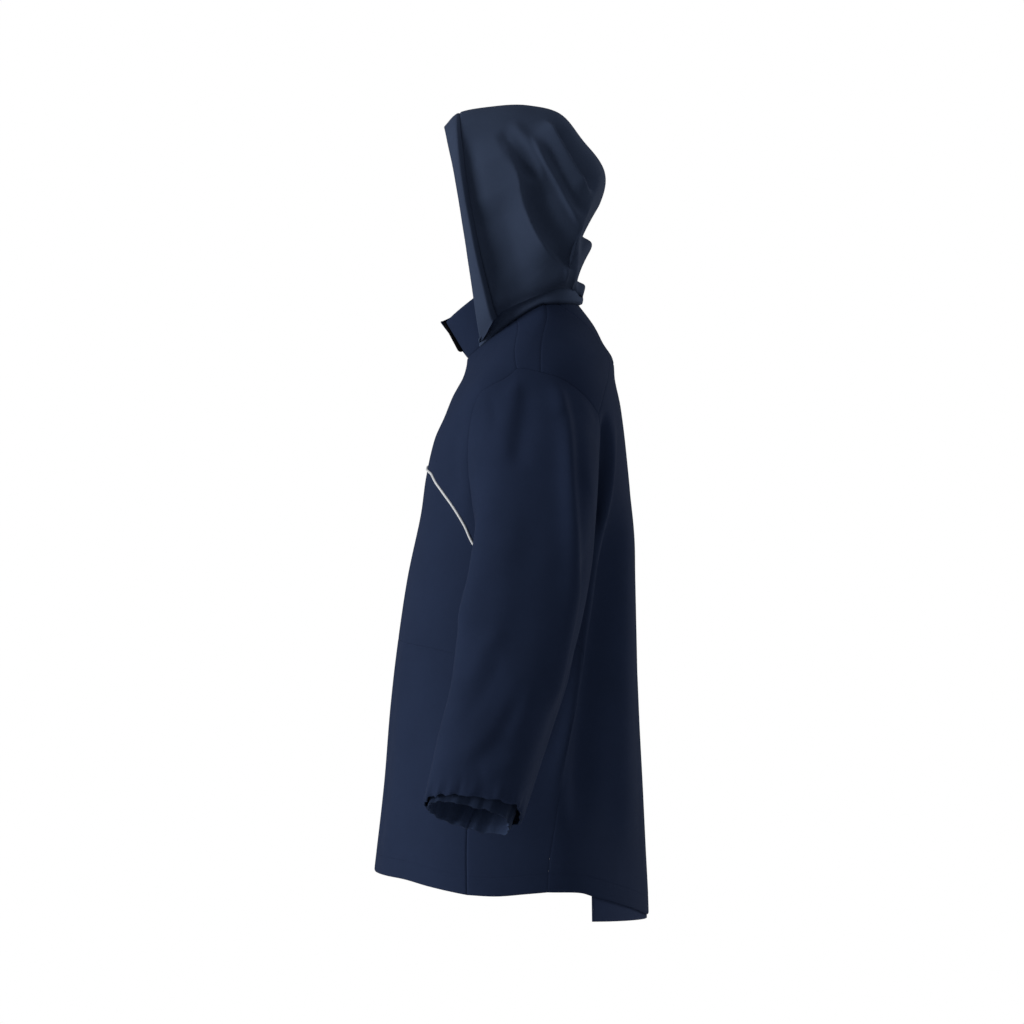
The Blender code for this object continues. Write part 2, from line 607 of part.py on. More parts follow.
# ---------------------------------------------------------------- sleeves and cuffs
def sleeve_ring(way, angle):
    """Angle 0 is the outer edge of the sleeve, a quarter turn on is its back."""
    ring = row_at(SLEEVE_RINGS, way)
    outer = Vector((ring.x_out, ring.y_middle, ring.z_out))
    inner = Vector((ring.x_in, ring.y_middle, ring.z_in))
    across, along = superellipse(angle, ring.square)
    return ((outer + inner) / 2 - (outer - inner) / 2 * along
            + Vector((0, 1, -ring.tilt)) * (ring.half_depth * across))


def smoothstep(share):
    share = min(max(share, 0.0), 1.0)
    return share * share * (3 - 2 * share)


def armhole():
    """The loop of body points where the sleeve is sewn in, from the shoulder by the back."""
    loop = join(trace(ARMHOLE_TOP), trace(ARMHOLE_BLADE), trace(ARMHOLE_BACK),
                trace(UNDERARM_BACK)[::-1], trace(UNDERARM_FRONT)[::-1],
                trace(ARMHOLE_FRONT)[::-1])
    return [body(turn, drop) for turn, drop in loop[:-1]]


def armhole_angle(point):
    """The angle on the sleeve's own first ring that lies nearest to an armhole point."""
    first = SLEEVE_RINGS[0]
    z_middle = (first.z_out + first.z_in) / 2
    half_height = (first.z_out - first.z_in) / 2
    return math.atan2((point.y - first.y_middle) / first.half_depth,
                      (point.z - z_middle) / half_height)


def sleeve_point(start, angle, way):
    blend = smoothstep(way / SLEEVE_BLEND)
    offset = (start - sleeve_ring(0.0, angle)) * (1 - blend)
    return sleeve_ring(way, angle) + offset


def sleeve_rows():
    """Rings of the left sleeve's outer face, with its large folds."""
    ways = steps(0, 1, SLEEVE_STEPS)
    loop = armhole()
    angles = [armhole_angle(point) for point in loop]
    rows = [[sleeve_point(start, angle, way) for start, angle in zip(loop, angles)]
            for way in ways]
    normals = grid_normals(rows, round_rows=True)
    for way, row, face_row in zip(ways, rows, normals):
        fade = smoothstep(way / SLEEVE_FOLDS_START)
        for j, normal in enumerate(face_row):
            outside = smoothstep(normal.x / SLEEVE_FOLDS_SIDE)
            row[j] = row[j] + normal * (fold_height(row[j], SLEEVE_FOLDS) * outside * fade)
    return rows


def build_sleeves():
    rows = sleeve_rows()
    for side in ("left", "right"):
        grid_wall(f"sleeve_{side}", rows, WALL, "jacket_cloth", round_rows=True,
                  mirrored=side == "right")


def build_inner_cuffs():
    """Elastic cuffs: rings of the sleeve moved inside it, narrower towards the wrist."""
    sleeve = sleeve_rows()
    normals = grid_normals(sleeve, round_rows=True)
    end_to_end = sum((low - high for low, high in zip(sleeve[-1], sleeve[-2])), Vector())
    outward = end_to_end.normalized()
    rows = []
    for ring in CUFF_RINGS:
        shift = outward * ring.beyond - Vector((0, ring.forward, 0))
        rows.append([point - normal * ring.inset + shift
                     for point, normal in zip(sleeve[ring.sleeve_ring],
                                              normals[ring.sleeve_ring])])
    for side in ("left", "right"):
        grid_wall(f"inner_cuff_{side}", rows, CUFF_WALL, "cuff_knit", round_rows=True,
                  mirrored=side == "right")


# ---------------------------------------------------------------- hood, collar and zip
def smooth_hood(station, rise):
    """Rise runs from 0 at the left foot of a hoop, by 1 over the head, to 2 on the right."""
    hoop = row_at(HOOD_HOOPS, station)
    foot = math.acos(min(hoop.x_base / hoop.half_width, 1.0))
    up = 1 - abs(1 - rise)
    angle = -foot + (math.pi / 2 + foot) * up
    power = 2 / HOOD_SQUARE if angle > 0 else 1.0
    climb = math.copysign(abs(math.sin(angle))**power, angle)
    share = (climb + math.sin(foot)) / (1 + math.sin(foot))
    x = hoop.half_width * max(math.cos(angle), 0.0)**power
    lean = hoop.lean * 4 * share * (1 - share)
    return Vector((x if rise <= 1 else -x,
                   hoop.y_base + (hoop.y_top - hoop.y_base) * share + lean,
                   hoop.z_base + (hoop.z_top - hoop.z_base) * share))


def hood(station, rise):
    point = smooth_hood(station, rise)
    height = fold_height(point, HOOD_FOLDS) * smoothstep(abs(point.x) / HOOD_FOLD_FADE)
    return point + hood_face(smooth_hood, station, rise) * height


def hood_face(surface, station, rise):
    """Unit normal of the hood, where station grows to the back and rise grows over the head."""
    last = HOOD_HOOPS[-1].station
    back = (surface(min(station + 2 * HOOD_STEP, last), rise)
            - surface(max(station - 2 * HOOD_STEP, 0), rise))
    over = (surface(station, min(rise + HOOD_STEP, 2))
            - surface(station, max(rise - HOOD_STEP, 0)))
    return back.cross(over).normalized()


def hood_panel(name, stations, rises, mirrored=False):
    spots = [(station, rise) for rise in rises[::-1] for station in stations]
    points = [hood(station, rise) for station, rise in spots]
    normals = [hood_face(hood, station, rise) for station, rise in spots]
    faces = grid_faces(len(rises), len(stations))
    points = draw_in(points, normals, faces, lambda a, b: HALF_GAP)
    wall(name, points, normals, faces, WALL, "hood_cloth", mirrored)


def build_hood():
    last = HOOD_HOOPS[-1].station
    back_stations = steps(BRIM_STATION, last, HOOD_BACK_STEPS)
    for side in ("left", "right"):
        hood_panel(f"hood_{side}", back_stations, steps(0, 1, HOOD_RISE_STEPS),
                   mirrored=side == "right")
    hood_panel("hood_brim", steps(0, BRIM_STATION, 1), steps(0, 2, 2 * HOOD_RISE_STEPS))


def neck_frame(turn):
    """A point of the neck ring and the level direction that points away from the neck."""
    point = smooth_body(turn, 0.0)
    along = smooth_body(turn + SMALL_STEP, 0.0) - smooth_body(turn - SMALL_STEP, 0.0)
    return point, Vector((along.y, -along.x, 0)).normalized()


def build_hood_band():
    """The low band that joins the hood's foot to the neck seam, outside the collar."""
    low, high = [], []
    for hoop in HOOD_HOOPS:
        point, outward = neck_frame(hoop.turn)
        low.append(point + outward * BAND_SET_OUT + Vector((0, 0, BAND_LIFT)))
        inside_hood = hood_face(hood, hoop.station, 0.0) * (WALL + BAND_BEHIND)
        high.append(hood(hoop.station, 0.0) - inside_hood)
    rows = []
    for share in (1.0, 0.5, 0.0):
        left = [a.lerp(b, share) for a, b in zip(low, high)]
        rows.append(left + [Vector((-p.x, p.y, p.z)) for p in reversed(left)])
    grid_wall("hood_band", rows, WALL, "hood_cloth")


def collar(turn, rise):
    """Outer face of the stand collar, where rise runs from 0 at the neck to 1 at its top."""
    point, outward = neck_frame(turn)
    lean = row_at(COLLAR_RISES, 1 - abs(1 - turn))
    foot = point - outward * COLLAR_SET_IN + Vector((0, 0, COLLAR_LIFT))
    return foot + (outward * lean.outward + Vector((0, -lean.forward, lean.up))) * rise


def collar_turns():
    left = [turn for turn, _ in join(trace(NECK_FRONT), trace(NECK_STRIP), trace(NECK_BLADE),
                                     trace(NECK_YOKE))]
    return left + [2 - turn for turn in reversed(left[:-1])]


def collar_rows():
    return [[collar(turn, rise) for turn in collar_turns()] for rise in steps(1, 0, COLLAR_STEPS)]


def build_collar():
    grid_wall("collar", collar_rows(), COLLAR_WALL, "collar_cloth", side_room=ZIP_SLOT)


def build_zip():
    """The closed zip behind both front edges, from the hem to the top of the collar."""
    points = []

    def add_row(edge, edge_normal, inside, inside_normal, cloth):
        """One row across the zip, flat against the first stretch of cloth beside the edge."""
        share = ZIP_HALF_WIDTH / (inside - edge).length
        behind = cloth + ZIP_BEHIND
        left = edge.lerp(inside, share) - edge_normal.lerp(inside_normal, share) * behind
        middle = edge - edge_normal * behind
        middle.x = 0.0
        points.append([Vector((-left.x, left.y, left.z)), middle, left])

    rows = collar_rows()
    for row, normals in zip(rows, grid_normals(rows, round_rows=False)):
        add_row(row[0], normals[0], row[1], normals[1], COLLAR_WALL)
    for grid in front_grids():
        for row in grid[1:]:
            add_row(body(*row[0]), body_face(*row[0]), body(*row[1]), body_face(*row[1]), WALL)
    grid_wall("front_zip", points, ZIP_WALL, "zip_tape", room=ZIP_END)


def build():
    for old in list(bpy.data.objects):
        bpy.data.objects.remove(old)
    build_fronts()
    build_sides()
    build_shoulders()
    build_back()
    build_tail_flap()
    build_piping()
    build_sleeves()
    build_inner_cuffs()
    build_hood()
    build_hood_band()
    build_collar()
    build_zip()


build()
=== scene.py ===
"""Looks of the hooded training jacket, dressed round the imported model.

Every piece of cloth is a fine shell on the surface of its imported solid: the same tables of
sizes, read more closely, with folds, seams, stitches and gathers.  The frame has +X to the
wearer's left, -Y to the front and +Z up, and its origin is the middle of the neck ring.  Metres.
"""
import math
from collections import namedtuple

import bmesh
import bpy
import numpy as np
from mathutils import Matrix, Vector
from mathutils.kdtree import KDTree


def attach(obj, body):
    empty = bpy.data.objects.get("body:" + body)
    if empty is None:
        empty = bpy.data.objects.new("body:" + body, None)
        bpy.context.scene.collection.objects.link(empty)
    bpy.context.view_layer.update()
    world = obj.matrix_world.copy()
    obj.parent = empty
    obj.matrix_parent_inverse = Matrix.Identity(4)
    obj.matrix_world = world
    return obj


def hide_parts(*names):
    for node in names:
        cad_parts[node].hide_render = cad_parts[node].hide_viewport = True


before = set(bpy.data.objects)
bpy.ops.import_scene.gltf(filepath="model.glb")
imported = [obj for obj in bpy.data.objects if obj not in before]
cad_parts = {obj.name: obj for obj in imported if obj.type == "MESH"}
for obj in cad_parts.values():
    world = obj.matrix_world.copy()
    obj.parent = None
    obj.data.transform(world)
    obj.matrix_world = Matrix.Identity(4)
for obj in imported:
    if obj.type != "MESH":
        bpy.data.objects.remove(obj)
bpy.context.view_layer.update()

# ---------------------------------------------------------------- sizes of the garment
WALL = 0.0020
COLLAR_WALL = 0.0022
CUFF_WALL = 0.0016
ZIP_SLOT = 0.0016          # half the width of the opening between the two front edges
ZIP_SLOT_REACH = 0.020     # cloth this near to the opening is moved aside for it
BODY_RADIUS = 0.22         # mean one, for places on the flat cloth

MIRROR = np.array((-1.0, 1.0, 1.0))
ACROSS = np.array((1.0, 0.0, 0.0))
FRONT = "centre front"
BACK = "centre back"
NECK = "neck ring"

# drop z_front z_side z_back y_front y_side y_back half_width square bow
BODY_RINGS = np.array((
    (0.000, -0.042, 0.033, 0.036, -0.084, 0.026, 0.077, 0.078, 2.10, 1.2),
    (0.020, -0.054, 0.012, 0.006, -0.0855, 0.024, 0.099, 0.116, 2.15, 1.4),
    (0.045, -0.072, -0.014, -0.020, -0.091, 0.015, 0.113, 0.160, 2.20, 1.6),
    (0.070, -0.098, -0.040, -0.043, -0.105, 0.008, 0.127, 0.196, 2.30, 1.8),
    (0.100, -0.128, -0.068, -0.074, -0.117, 0.005, 0.130, 0.216, 2.50, 2.0),
    (0.140, -0.160, -0.115, -0.115, -0.131, 0.005, 0.138, 0.222, 2.60, 2.0),
    (0.200, -0.212, -0.195, -0.190, -0.143, 0.006, 0.147, 0.224, 2.70, 2.0),
    (0.270, -0.270, -0.270, -0.270, -0.151, 0.005, 0.154, 0.226, 2.70, 2.0),
    (0.360, -0.360, -0.360, -0.360, -0.170, 0.000, 0.158, 0.234, 2.50, 2.0),
    (0.450, -0.450, -0.450, -0.450, -0.184, -0.005, 0.161, 0.243, 2.40, 2.0),
    (0.540, -0.540, -0.540, -0.540, -0.1945, -0.010, 0.165, 0.253, 2.30, 2.0),
    (0.650, -0.650, -0.650, -0.650, -0.203, -0.014, 0.170, 0.267, 2.20, 2.0),
    (0.770, -0.770, -0.770, -0.770, -0.216, -0.018, 0.176, 0.283, 2.20, 2.0),
    (0.870, -0.870, -0.870, -0.870, -0.226, -0.020, 0.180, 0.293, 2.20, 2.0),
))

# Sewing lines on the left half, with their numbers of steps, as (y, z) in millimetres seen square
# from the side.
Seam = namedtuple("Seam", "steps path")
SEAMS = {
    "neck_front": Seam(4, ((FRONT, NECK), (-66, NECK), (-13, NECK))),
    "neck_strip": Seam(2, ((-13, NECK), (30, NECK))),
    "neck_blade": Seam(1, ((30, NECK), (46, NECK))),
    "neck_yoke": Seam(4, ((46, NECK), (68, NECK), (BACK, NECK))),
    "strip_front": Seam(3, ((-13, NECK), (-14.5, -31), (-12, -65))),
    "strip_back": Seam(3, ((30, NECK), (24.5, -15), (21.5, -70))),
    "yoke_side": Seam(3, ((46, NECK), (74, 14), (99, -12), (119.5, -48))),
    "yoke_hem": Seam(4, ((119.5, -48), (126, -50), (BACK, -51))),
    "princess": Seam(3, ((119.5, -48), (118, -69), (111, -96), (102, -127))),
    "armhole_top": Seam(2, ((-12, -65), (5, -66), (21.5, -70))),
    "armhole_front": Seam(7, ((-12, -65), (-27, -78), (-45, -89), (-60, -101), (-70, -125),
          (-76, -160), (-77, -195), (-73, -235))),
    "armhole_blade": Seam(4, ((21.5, -70), (50, -79), (81, -101), (102, -127))),
    "armhole_back": Seam(4, ((102, -127), (107, -160), (107, -195), (102, -235))),
    "underarm_front": Seam(3, ((-73, -235), (-58, -270), (-28, -296), (12, -306))),
    "underarm_back": Seam(4, ((12, -306), (50, -298), (84, -272), (102, -235))),
    "piping": Seam(10, ((FRONT, -198), (-133, -209.5), (-124, -225), (-111, -243), (-98, -260),
          (-85, -282), (-72, -309), (-48, -332), (-22, -345), (4, -349))),
    "waist_front": Seam(10, ((FRONT, -445), (-146, -451), (-101, -459), (-66, -464), (-34, -466))),
    "waist_back": Seam(4, ((-34, -466), (10, -457), (40, -444), (58, -441), (69, -446), (76, -459))),
    "back_side": Seam(8, ((76, -459), (72, -505), (61.5, -550), (50, -608), (42, -678), (32, -748),
          (30, -785))),
    "side_top": Seam(2, ((12, -306), (4, -349))),
    "side_middle": Seam(5, ((4, -349), (-10, -400), (-34, -466))),
    "side_low": Seam(8, ((-34, -466), (-56, -545), (-72, -620), (-81, -700), (-81, -789))),
    "hem_front": Seam(10, ((FRONT, -780), (-190, -776), (-166, -776), (-134, -781), (-108, -785),
          (-81, -789))),
    "hem_side": Seam(4, ((-81, -789), (-40, -790), (0, -787), (30, -785))),
    "hem_back": Seam(2, ((30, -785), (74, -788), (94, -795))),
    "hem_tail": Seam(5, ((94, -795), (106, -799), (134, -811), (155, -823), (172, -837),
          (BACK, -843))),
    "edge_chest": Seam(7, ((FRONT, NECK), (FRONT, -110), (FRONT, -165))),
    "edge_piping": Seam(2, ((FRONT, -165), (FRONT, -198))),
    "edge_middle": Seam(5, ((FRONT, -198), (FRONT, -320), (FRONT, -445))),
    "edge_skirt": Seam(8, ((FRONT, -445), (FRONT, -600), (FRONT, -780))),
    "spine_yoke": Seam(3, ((BACK, NECK), (BACK, -51))),
    "spine_chest": Seam(4, ((BACK, -51), (BACK, -235))),
    "spine_middle": Seam(7, ((BACK, -235), (BACK, -400), (BACK, -475))),
    "spine_skirt": Seam(8, ((BACK, -475), (BACK, -650), (BACK, -843))),
    "chest_line": Seam(7, ((FRONT, -165), (-115, -200), (-73, -235))),
    "blade_line": Seam(7, ((102, -235), (135, -235), (BACK, -235))),
    "loin_line": Seam(7, ((76, -459), (120, -468), (BACK, -475))),
}

# way x_out z_out x_in z_in y_middle half_depth square tilt
SLEEVE_RINGS = np.array((
    (0.00, 0.224, -0.072, 0.228, -0.304, 0.014, 0.091, 2.2, 0.00),
    (0.12, 0.256, -0.135, 0.245, -0.350, 0.014, 0.086, 2.2, 0.00),
    (0.25, 0.293, -0.208, 0.265, -0.401, 0.0105, 0.0805, 2.2, 0.02),
    (0.40, 0.333, -0.292, 0.288, -0.458, -0.002, 0.079, 2.2, 0.05),
    (0.55, 0.371, -0.379, 0.311, -0.516, -0.0185, 0.076, 2.2, 0.08),
    (0.70, 0.408, -0.466, 0.335, -0.573, -0.032, 0.071, 2.2, 0.10),
    (0.85, 0.445, -0.551, 0.358, -0.628, -0.052, 0.0685, 2.2, 0.12),
    (1.00, 0.479, -0.636, 0.381, -0.683, -0.071, 0.066, 2.2, 0.13),
))

# station turn y_base z_base x_base y_top z_top half_width lean
HOOD_HOOPS = np.array((
    (0, 0.20, -0.066, -0.027, 0.064, -0.118, 0.294, 0.104, 0.000),
    (1, 0.30, -0.042, 0.011, 0.096, -0.095, 0.315, 0.112, -0.008),
    (2, 0.37, -0.018, 0.025, 0.100, -0.048, 0.323, 0.117, -0.004),
    (3, 0.44, 0.005, 0.034, 0.102, 0.005, 0.325, 0.119, 0.000),
    (4, 0.51, 0.026, 0.042, 0.101, 0.050, 0.313, 0.119, 0.000),
    (5, 0.59, 0.043, 0.047, 0.097, 0.0855, 0.273, 0.116, 0.000),
    (6, 0.66, 0.056, 0.050, 0.090, 0.1155, 0.228, 0.110, -0.006),
    (7, 0.72, 0.065, 0.051, 0.081, 0.109, 0.183, 0.102, -0.015),
    (8, 0.78, 0.072, 0.051, 0.071, 0.081, 0.141, 0.088, 0.000),
    (9, 0.83, 0.077, 0.050, 0.060, 0.097, 0.122, 0.072, -0.008),
    (10, 0.88, 0.080, 0.048, 0.047, 0.074, 0.078, 0.054, 0.000),
    (11, 0.92, 0.083, 0.046, 0.033, 0.087, 0.064, 0.036, 0.000),
    (12, 0.96, 0.083, 0.044, 0.018, 0.083, 0.048, 0.018, 0.000),
))

# turn outward forward up
COLLAR_RISES = np.array((
    (0.00, 0.000, 0.032, 0.053),
    (0.20, 0.001, 0.027, 0.056),
    (0.45, 0.002, 0.021, 0.057),
    (0.70, 0.001, 0.020, 0.054),
    (1.00, 0.000, 0.022, 0.050),
))
COLLAR_SET_IN = 0.0013
COLLAR_LIFT = 0.0006
BAND_SET_OUT = 0.0021
BAND_LIFT = 0.0002

# ---------------------------------------------------------------- folds, seams and stitches
# A fold is drawn in millimetres as seen square from one side of the garment, (y, z) from the left or
# the right and (x, z) from the front or the back.  before and after are its half-widths on its two
# hands.  A roundness of 2 is a soft swell, and towards 1 its crest is a sharp lip.
Fold = namedtuple("Fold", "side height before after path roundness", defaults=(2.0,))
FAR_SHIFT = 0.005          # how far a fold of the right side lies from its like on the left
FAR_HEIGHT = (0.95, 0.15)  # its height as a share of the other's, and how much that share varies


def both_sides(folds):
    """The folds in metres, and on the right like ones for those on the left."""
    folds = [Fold(fold.side, fold.height / 1000, fold.before / 1000, fold.after / 1000,
                  np.array(fold.path) / 1000, fold.roundness) for fold in folds]
    right = []
    for i, fold in enumerate(fold for fold in folds if fold.side == "left"):
        moved = fold.path + FAR_SHIFT * np.array((math.cos(3.7 * i), math.sin(2.1 * i)))
        share = FAR_HEIGHT[0] + FAR_HEIGHT[1] * math.sin(1.7 * i)
        right.append(fold._replace(side="right", height=fold.height * share, path=moved))
    return folds + right


BODY_FOLDS = both_sides((
    # soft break down the front, and cloth that rises to the front of the sleeve
    Fold("left", 3, 22, 30, ((-136, -255), (-144, -411), (-152, -560))),
    Fold("left", 6.5, 20, 20, ((-30, -55), (-58, -98), (-73, -148), (-79, -200), (-76, -290))),
    Fold("left", -2.5, 12, 12, ((-86, -120), (-94, -180), (-92, -250))),
    # pleat that hangs behind the sleeve, with a deep hollow before it
    Fold("left", 9.5, 13, 4.5, ((118, -100), (124, -141), (121, -178), (114, -233), (103, -303),
          (95, -357), (83, -429), (68, -525), (50, -609), (36, -680))),
    Fold("left", -13, 5, 5, ((110, -116), (113, -150), (110, -190), (103, -233), (92, -303))),
    # broad hollow behind the pleat, and the corner where the flat of the back begins
    Fold("left", -12.5, 14, 22, ((122, -240), (112, -315), (103, -391), (93, -473), (84, -553),
          (75, -640), (68, -720))),
    Fold("back", 12, 45, 30, ((132, -200), (140, -290), (150, -400), (160, -550), (170, -690),
          (176, -780))),
    Fold("left", 3, 22, 22, ((40, -560), (46, -660), (58, -800))),
    # long soft waves of the front and the back, wider towards the hem
    Fold("front", 4, 30, 40, ((120, -400), (136, -560), (150, -775))),
    Fold("front", -3, 26, 26, ((70, -480), (74, -620), (82, -775))),
    Fold("front", 3.6, 36, 30, ((-110, -380), (-124, -560), (-142, -775))),
    Fold("front", -2.6, 24, 28, ((-58, -500), (-66, -640), (-70, -775))),
    Fold("back", 3, 26, 26, ((78, -180), (86, -400), (96, -620), (104, -820))),
    Fold("back", -4.5, 30, 28, ((50, -220), (56, -460), (62, -820))),
    Fold("back", 4.6, 32, 30, ((-94, -200), (-104, -420), (-120, -640), (-128, -820))),
    Fold("back", -4, 26, 32, ((-40, -250), (-50, -500), (-52, -820))),
))
SLEEVE_FOLDS = both_sides((
    # drapes that fall from the cap of the sleeve
    Fold("left", 1.9, 16, 22, ((-20, -85), (-33, -148), (-54, -230), (-71, -309), (-83, -383),
          (-98, -480))),
    Fold("left", -3.1, 18, 18, ((4, -80), (-6, -141), (-16, -215))),
    Fold("left", 7.5, 14, 7, ((46, -72), (55, -123), (60, -174), (63, -248), (66, -315), (65, -383),
          (54, -451), (41, -518), (26, -586))),
    Fold("left", -2.9, 7, 10, ((61, -95), (70, -141), (75, -190), (78, -260))),
    Fold("left", 1.9, 8, 6, ((78, -82), (87, -110), (93, -150))),
    Fold("left", 3.8, 16, 12, ((-16, -70), (-19, -112), (-24, -150), (-32, -205))),
    Fold("left", 4.2, 14, 7, ((44, -66), (48, -95), (51, -135))),
    Fold("left", -1.2, 6, 6, ((-53, -90), (-45, -120), (-40, -150))),
    # long hollow down the middle, and the bend of the elbow
    Fold("left", -1.6, 22, 26, ((10, -240), (-2, -360), (-14, -460))),
    Fold("left", 1.9, 13, 12, ((-26, -412), (-56, -448), (-72, -482), (-106, -533))),
    Fold("left", -1.2, 10, 10, ((-30, -450), (-46, -486), (-66, -520), (-94, -556))),
    Fold("left", 1.5, 14, 13, ((-10, -470), (-22, -509), (-35, -537), (-56, -562), (-90, -585))),
    Fold("left", -1.8, 10, 12, ((-9, -505), (-24, -539), (-41, -570), (-63, -589), (-86, -600))),
    Fold("left", 1.7, 12, 12, ((10, -490), (-6, -535), (-24, -568))),
    Fold("left", 1.4, 10, 10, ((-10, -580), (-31, -602), (-62, -608))),
    Fold("back", 3.4, 14, 16, ((330, -330), (362, -430), (392, -540))),
    Fold("back", -3, 12, 12, ((300, -300), (336, -410), (372, -530))),
    Fold("back", 3, 14, 14, ((-322, -310), (-352, -420), (-388, -550))),
    Fold("front", 3.2, 12, 14, ((300, -360), (340, -400), (385, -420))),
    Fold("front", 3, 14, 12, ((-306, -350), (-345, -398), (-380, -430))),
))
HOOD_FOLDS = both_sides((
    # hollow behind the seam of the brim, and the broad swell that rises from it to a lip
    Fold("left", -6, 6, 20, ((-90, 285), (-82, 225), (-72, 168), (-58, 118), (-45, 70), (-36, 30))),
    Fold("left", 16.5, 32, 8, ((-40, 288), (-24, 250), (-10, 214), (-3, 185), (4, 158), (18, 128),
          (38, 102), (56, 84)), 1.1),
    # shallow bowl low down behind the brim
    Fold("left", -12, 36, 30, ((-45, 190), (-30, 140), (-20, 95), (-12, 55), (-8, 18))),
    Fold("left", 3, 2.4, 2, ((0, 172), (4, 158), (18, 128), (38, 102), (60, 82))),
    # short fold above the deep one, with its hollow curling round its end
    Fold("left", -6.5, 8, 8, ((-36, 284), (-22, 248), (-6, 226), (10, 212), (22, 203))),
    Fold("left", 5.2, 8, 9, ((-24, 296), (0, 267), (13, 246), (22, 224), (28, 202))),
    # floor of the deep fold behind the cheek, and the overhanging bank behind it
    Fold("left", -12, 4, 36, ((-2, 214), (2, 185), (9, 158), (23, 128), (42, 103), (62, 86),
          (76, 79))),
    Fold("left", 6.5, 2.8, 10, ((6, 276), (19, 247), (30, 225), (45, 197), (60, 170), (74, 147),
          (84, 134))),
    Fold("left", -5, 6, 8, ((22, 264), (40, 228), (56, 200), (72, 174), (92, 154))),
    # round swell at the back of the head, and the hollow behind it
    Fold("left", 15, 18, 4, ((27, 302), (43, 268), (56, 243), (72, 214), (95, 184)), 1.15),
    Fold("left", -13, 4, 26, ((37, 298), (53, 262), (67, 235), (84, 210), (105, 190))),
    Fold("left", 1.6, 3, 5, ((58.5, 86), (59.5, 74), (58, 60))),
))
FOLD_FINE = 24             # straight pieces that a fold's smooth path is measured by
FOLD_REACH = 2.8           # half-widths round its path in which it is worked out
FOLD_TAPER = 0.22          # share of its length over which a fold dies out at each end
FACING_LOW = 0.05          # a fold shows where the cloth faces its side by more than this
FACING_SPAN = 0.40
HOOD_FACING_LOW = 0.30     # the hood's folds fade where it turns to the back
HOOD_FACING_SPAN = 0.40
HALF_BLEND = 0.015         # the hood's left and right folds cross over within this of its middle

# Waves with no pattern: their lengths along x, y and z, and their height.
Ripple = namedtuple("Ripple", "sizes seed height")
RIPPLE_WAVES = 9
BODY_SWAY = Ripple((0.30, 0.30, 1.6), 5, 0.0016)
BODY_RIPPLE = Ripple((0.16, 0.16, 0.30), 8, 0.0004)
SLEEVE_RIPPLE = Ripple((0.20, 0.16, 0.25), 21, 0.0009)
HOOD_RIPPLE = Ripple((0.14, 0.14, 0.14), 51, 0.0006)
SWAY_TOP = -0.30           # the body sways below this height, and in full SWAY_REACH lower
SWAY_REACH = 0.40

# How deep cloth is drawn in at a line, and how far from it.
Dip = namedtuple("Dip", "depth width")
DIP_SHARPNESS = 1.6
DIP_REACH = 3              # widths from its line in which a dip is worked out
SEAM_DIP = Dip(0.0006, 0.0013)
SEAM_DIPS = {
    "side_low": Dip(0.0013, 0.0013),
    "back_side": Dip(0.0004, 0.0011),
    "armhole_front": Dip(0.0002, 0.0013),
    "waist_front": Dip(0.0003, 0.0012),
    "neck_front": Dip(0.0004, 0.0013),
}
EDGE_DIP = Dip(0.0009, 0.0009)
STITCH_DIP = Dip(0.0003, 0.0011)
FOOT_CURL = Dip(0.0090, 0.0135)      # the lower edges of hood and brim roll inward
FACE_CURL = -0.6           # change of that roll at the face, and the stations over which it fades
FACE_CURL_REACH = 2.0
NAPE_STATION = 9.0         # from this station on the roll dies out, and the band rises behind it
NAPE_REACH = 2.0
LINE_SPACING = 0.0008      # points of a line that distances are measured from
CLOSE_ROWS = (0.018, 0.045, 0.085)   # extra rows beside a seam, in steps of the seam
HEM_DEPTH = 0.0255

# For each side that folds are drawn from: its two axes, and the direction it is seen from.
VIEWS = {
    "left": (1, 2, (1, 0, 0)),
    "right": (1, 2, (-1, 0, 0)),
    "front": (0, 2, (0, -1, 0)),
    "back": (0, 2, (0, 1, 0)),
}
SMALL_STEP = 0.002         # turn and drop, and rise, between the points that give a normal
HOOD_STEP = 0.01


# ---------------------------------------------------------------- tables read as smooth curves
def read(table, keys):
    """Rows of a table at values of its first column, on smooth curves through the rows."""
    x = table[:, 0]
    keys = np.clip(keys, x[0], x[-1])
    low = np.clip(np.searchsorted(x, keys, side="right") - 1, 0, len(x) - 2)
    before = np.maximum(low - 1, 0)
    after = np.minimum(low + 2, len(x) - 1)
    span = (x[low + 1] - x[low])[..., None]
    t = (keys - x[low])[..., None] / span
    start, end = table[low, 1:], table[low + 1, 1:]
    slope_in = (end - table[before, 1:]) / (x[low + 1] - x[before])[..., None] * span
    slope_out = (table[after, 1:] - start) / (x[after] - x[low])[..., None] * span
    return ((2 * t**3 - 3 * t**2 + 1) * start + (t**3 - 2 * t**2 + t) * slope_in
            + (3 * t**2 - 2 * t**3) * end + (t**3 - t**2) * slope_out)


def smoothstep(share):
    """A soft step from 0 to 1."""
    share = np.clip(share, 0.0, 1.0)
    return share * share * (3 - 2 * share)


def unit(vectors):
    """Vectors of length 1."""
    return vectors / np.maximum(np.linalg.norm(vectors, axis=-1, keepdims=True), 1e-12)


def lengths(points):
    """How far along a line each of its points lies."""
    return np.concatenate(([0.0], np.cumsum(np.linalg.norm(np.diff(points, axis=0), axis=1))))


def superellipse(angle, square):
    """Across and along a ring that is rounder for a square of 2 and boxier above it."""
    across, along = np.sin(angle), -np.cos(angle)
    reach = (np.abs(across)**square + np.abs(along)**square) ** (-1 / square)
    return across * reach, along * reach


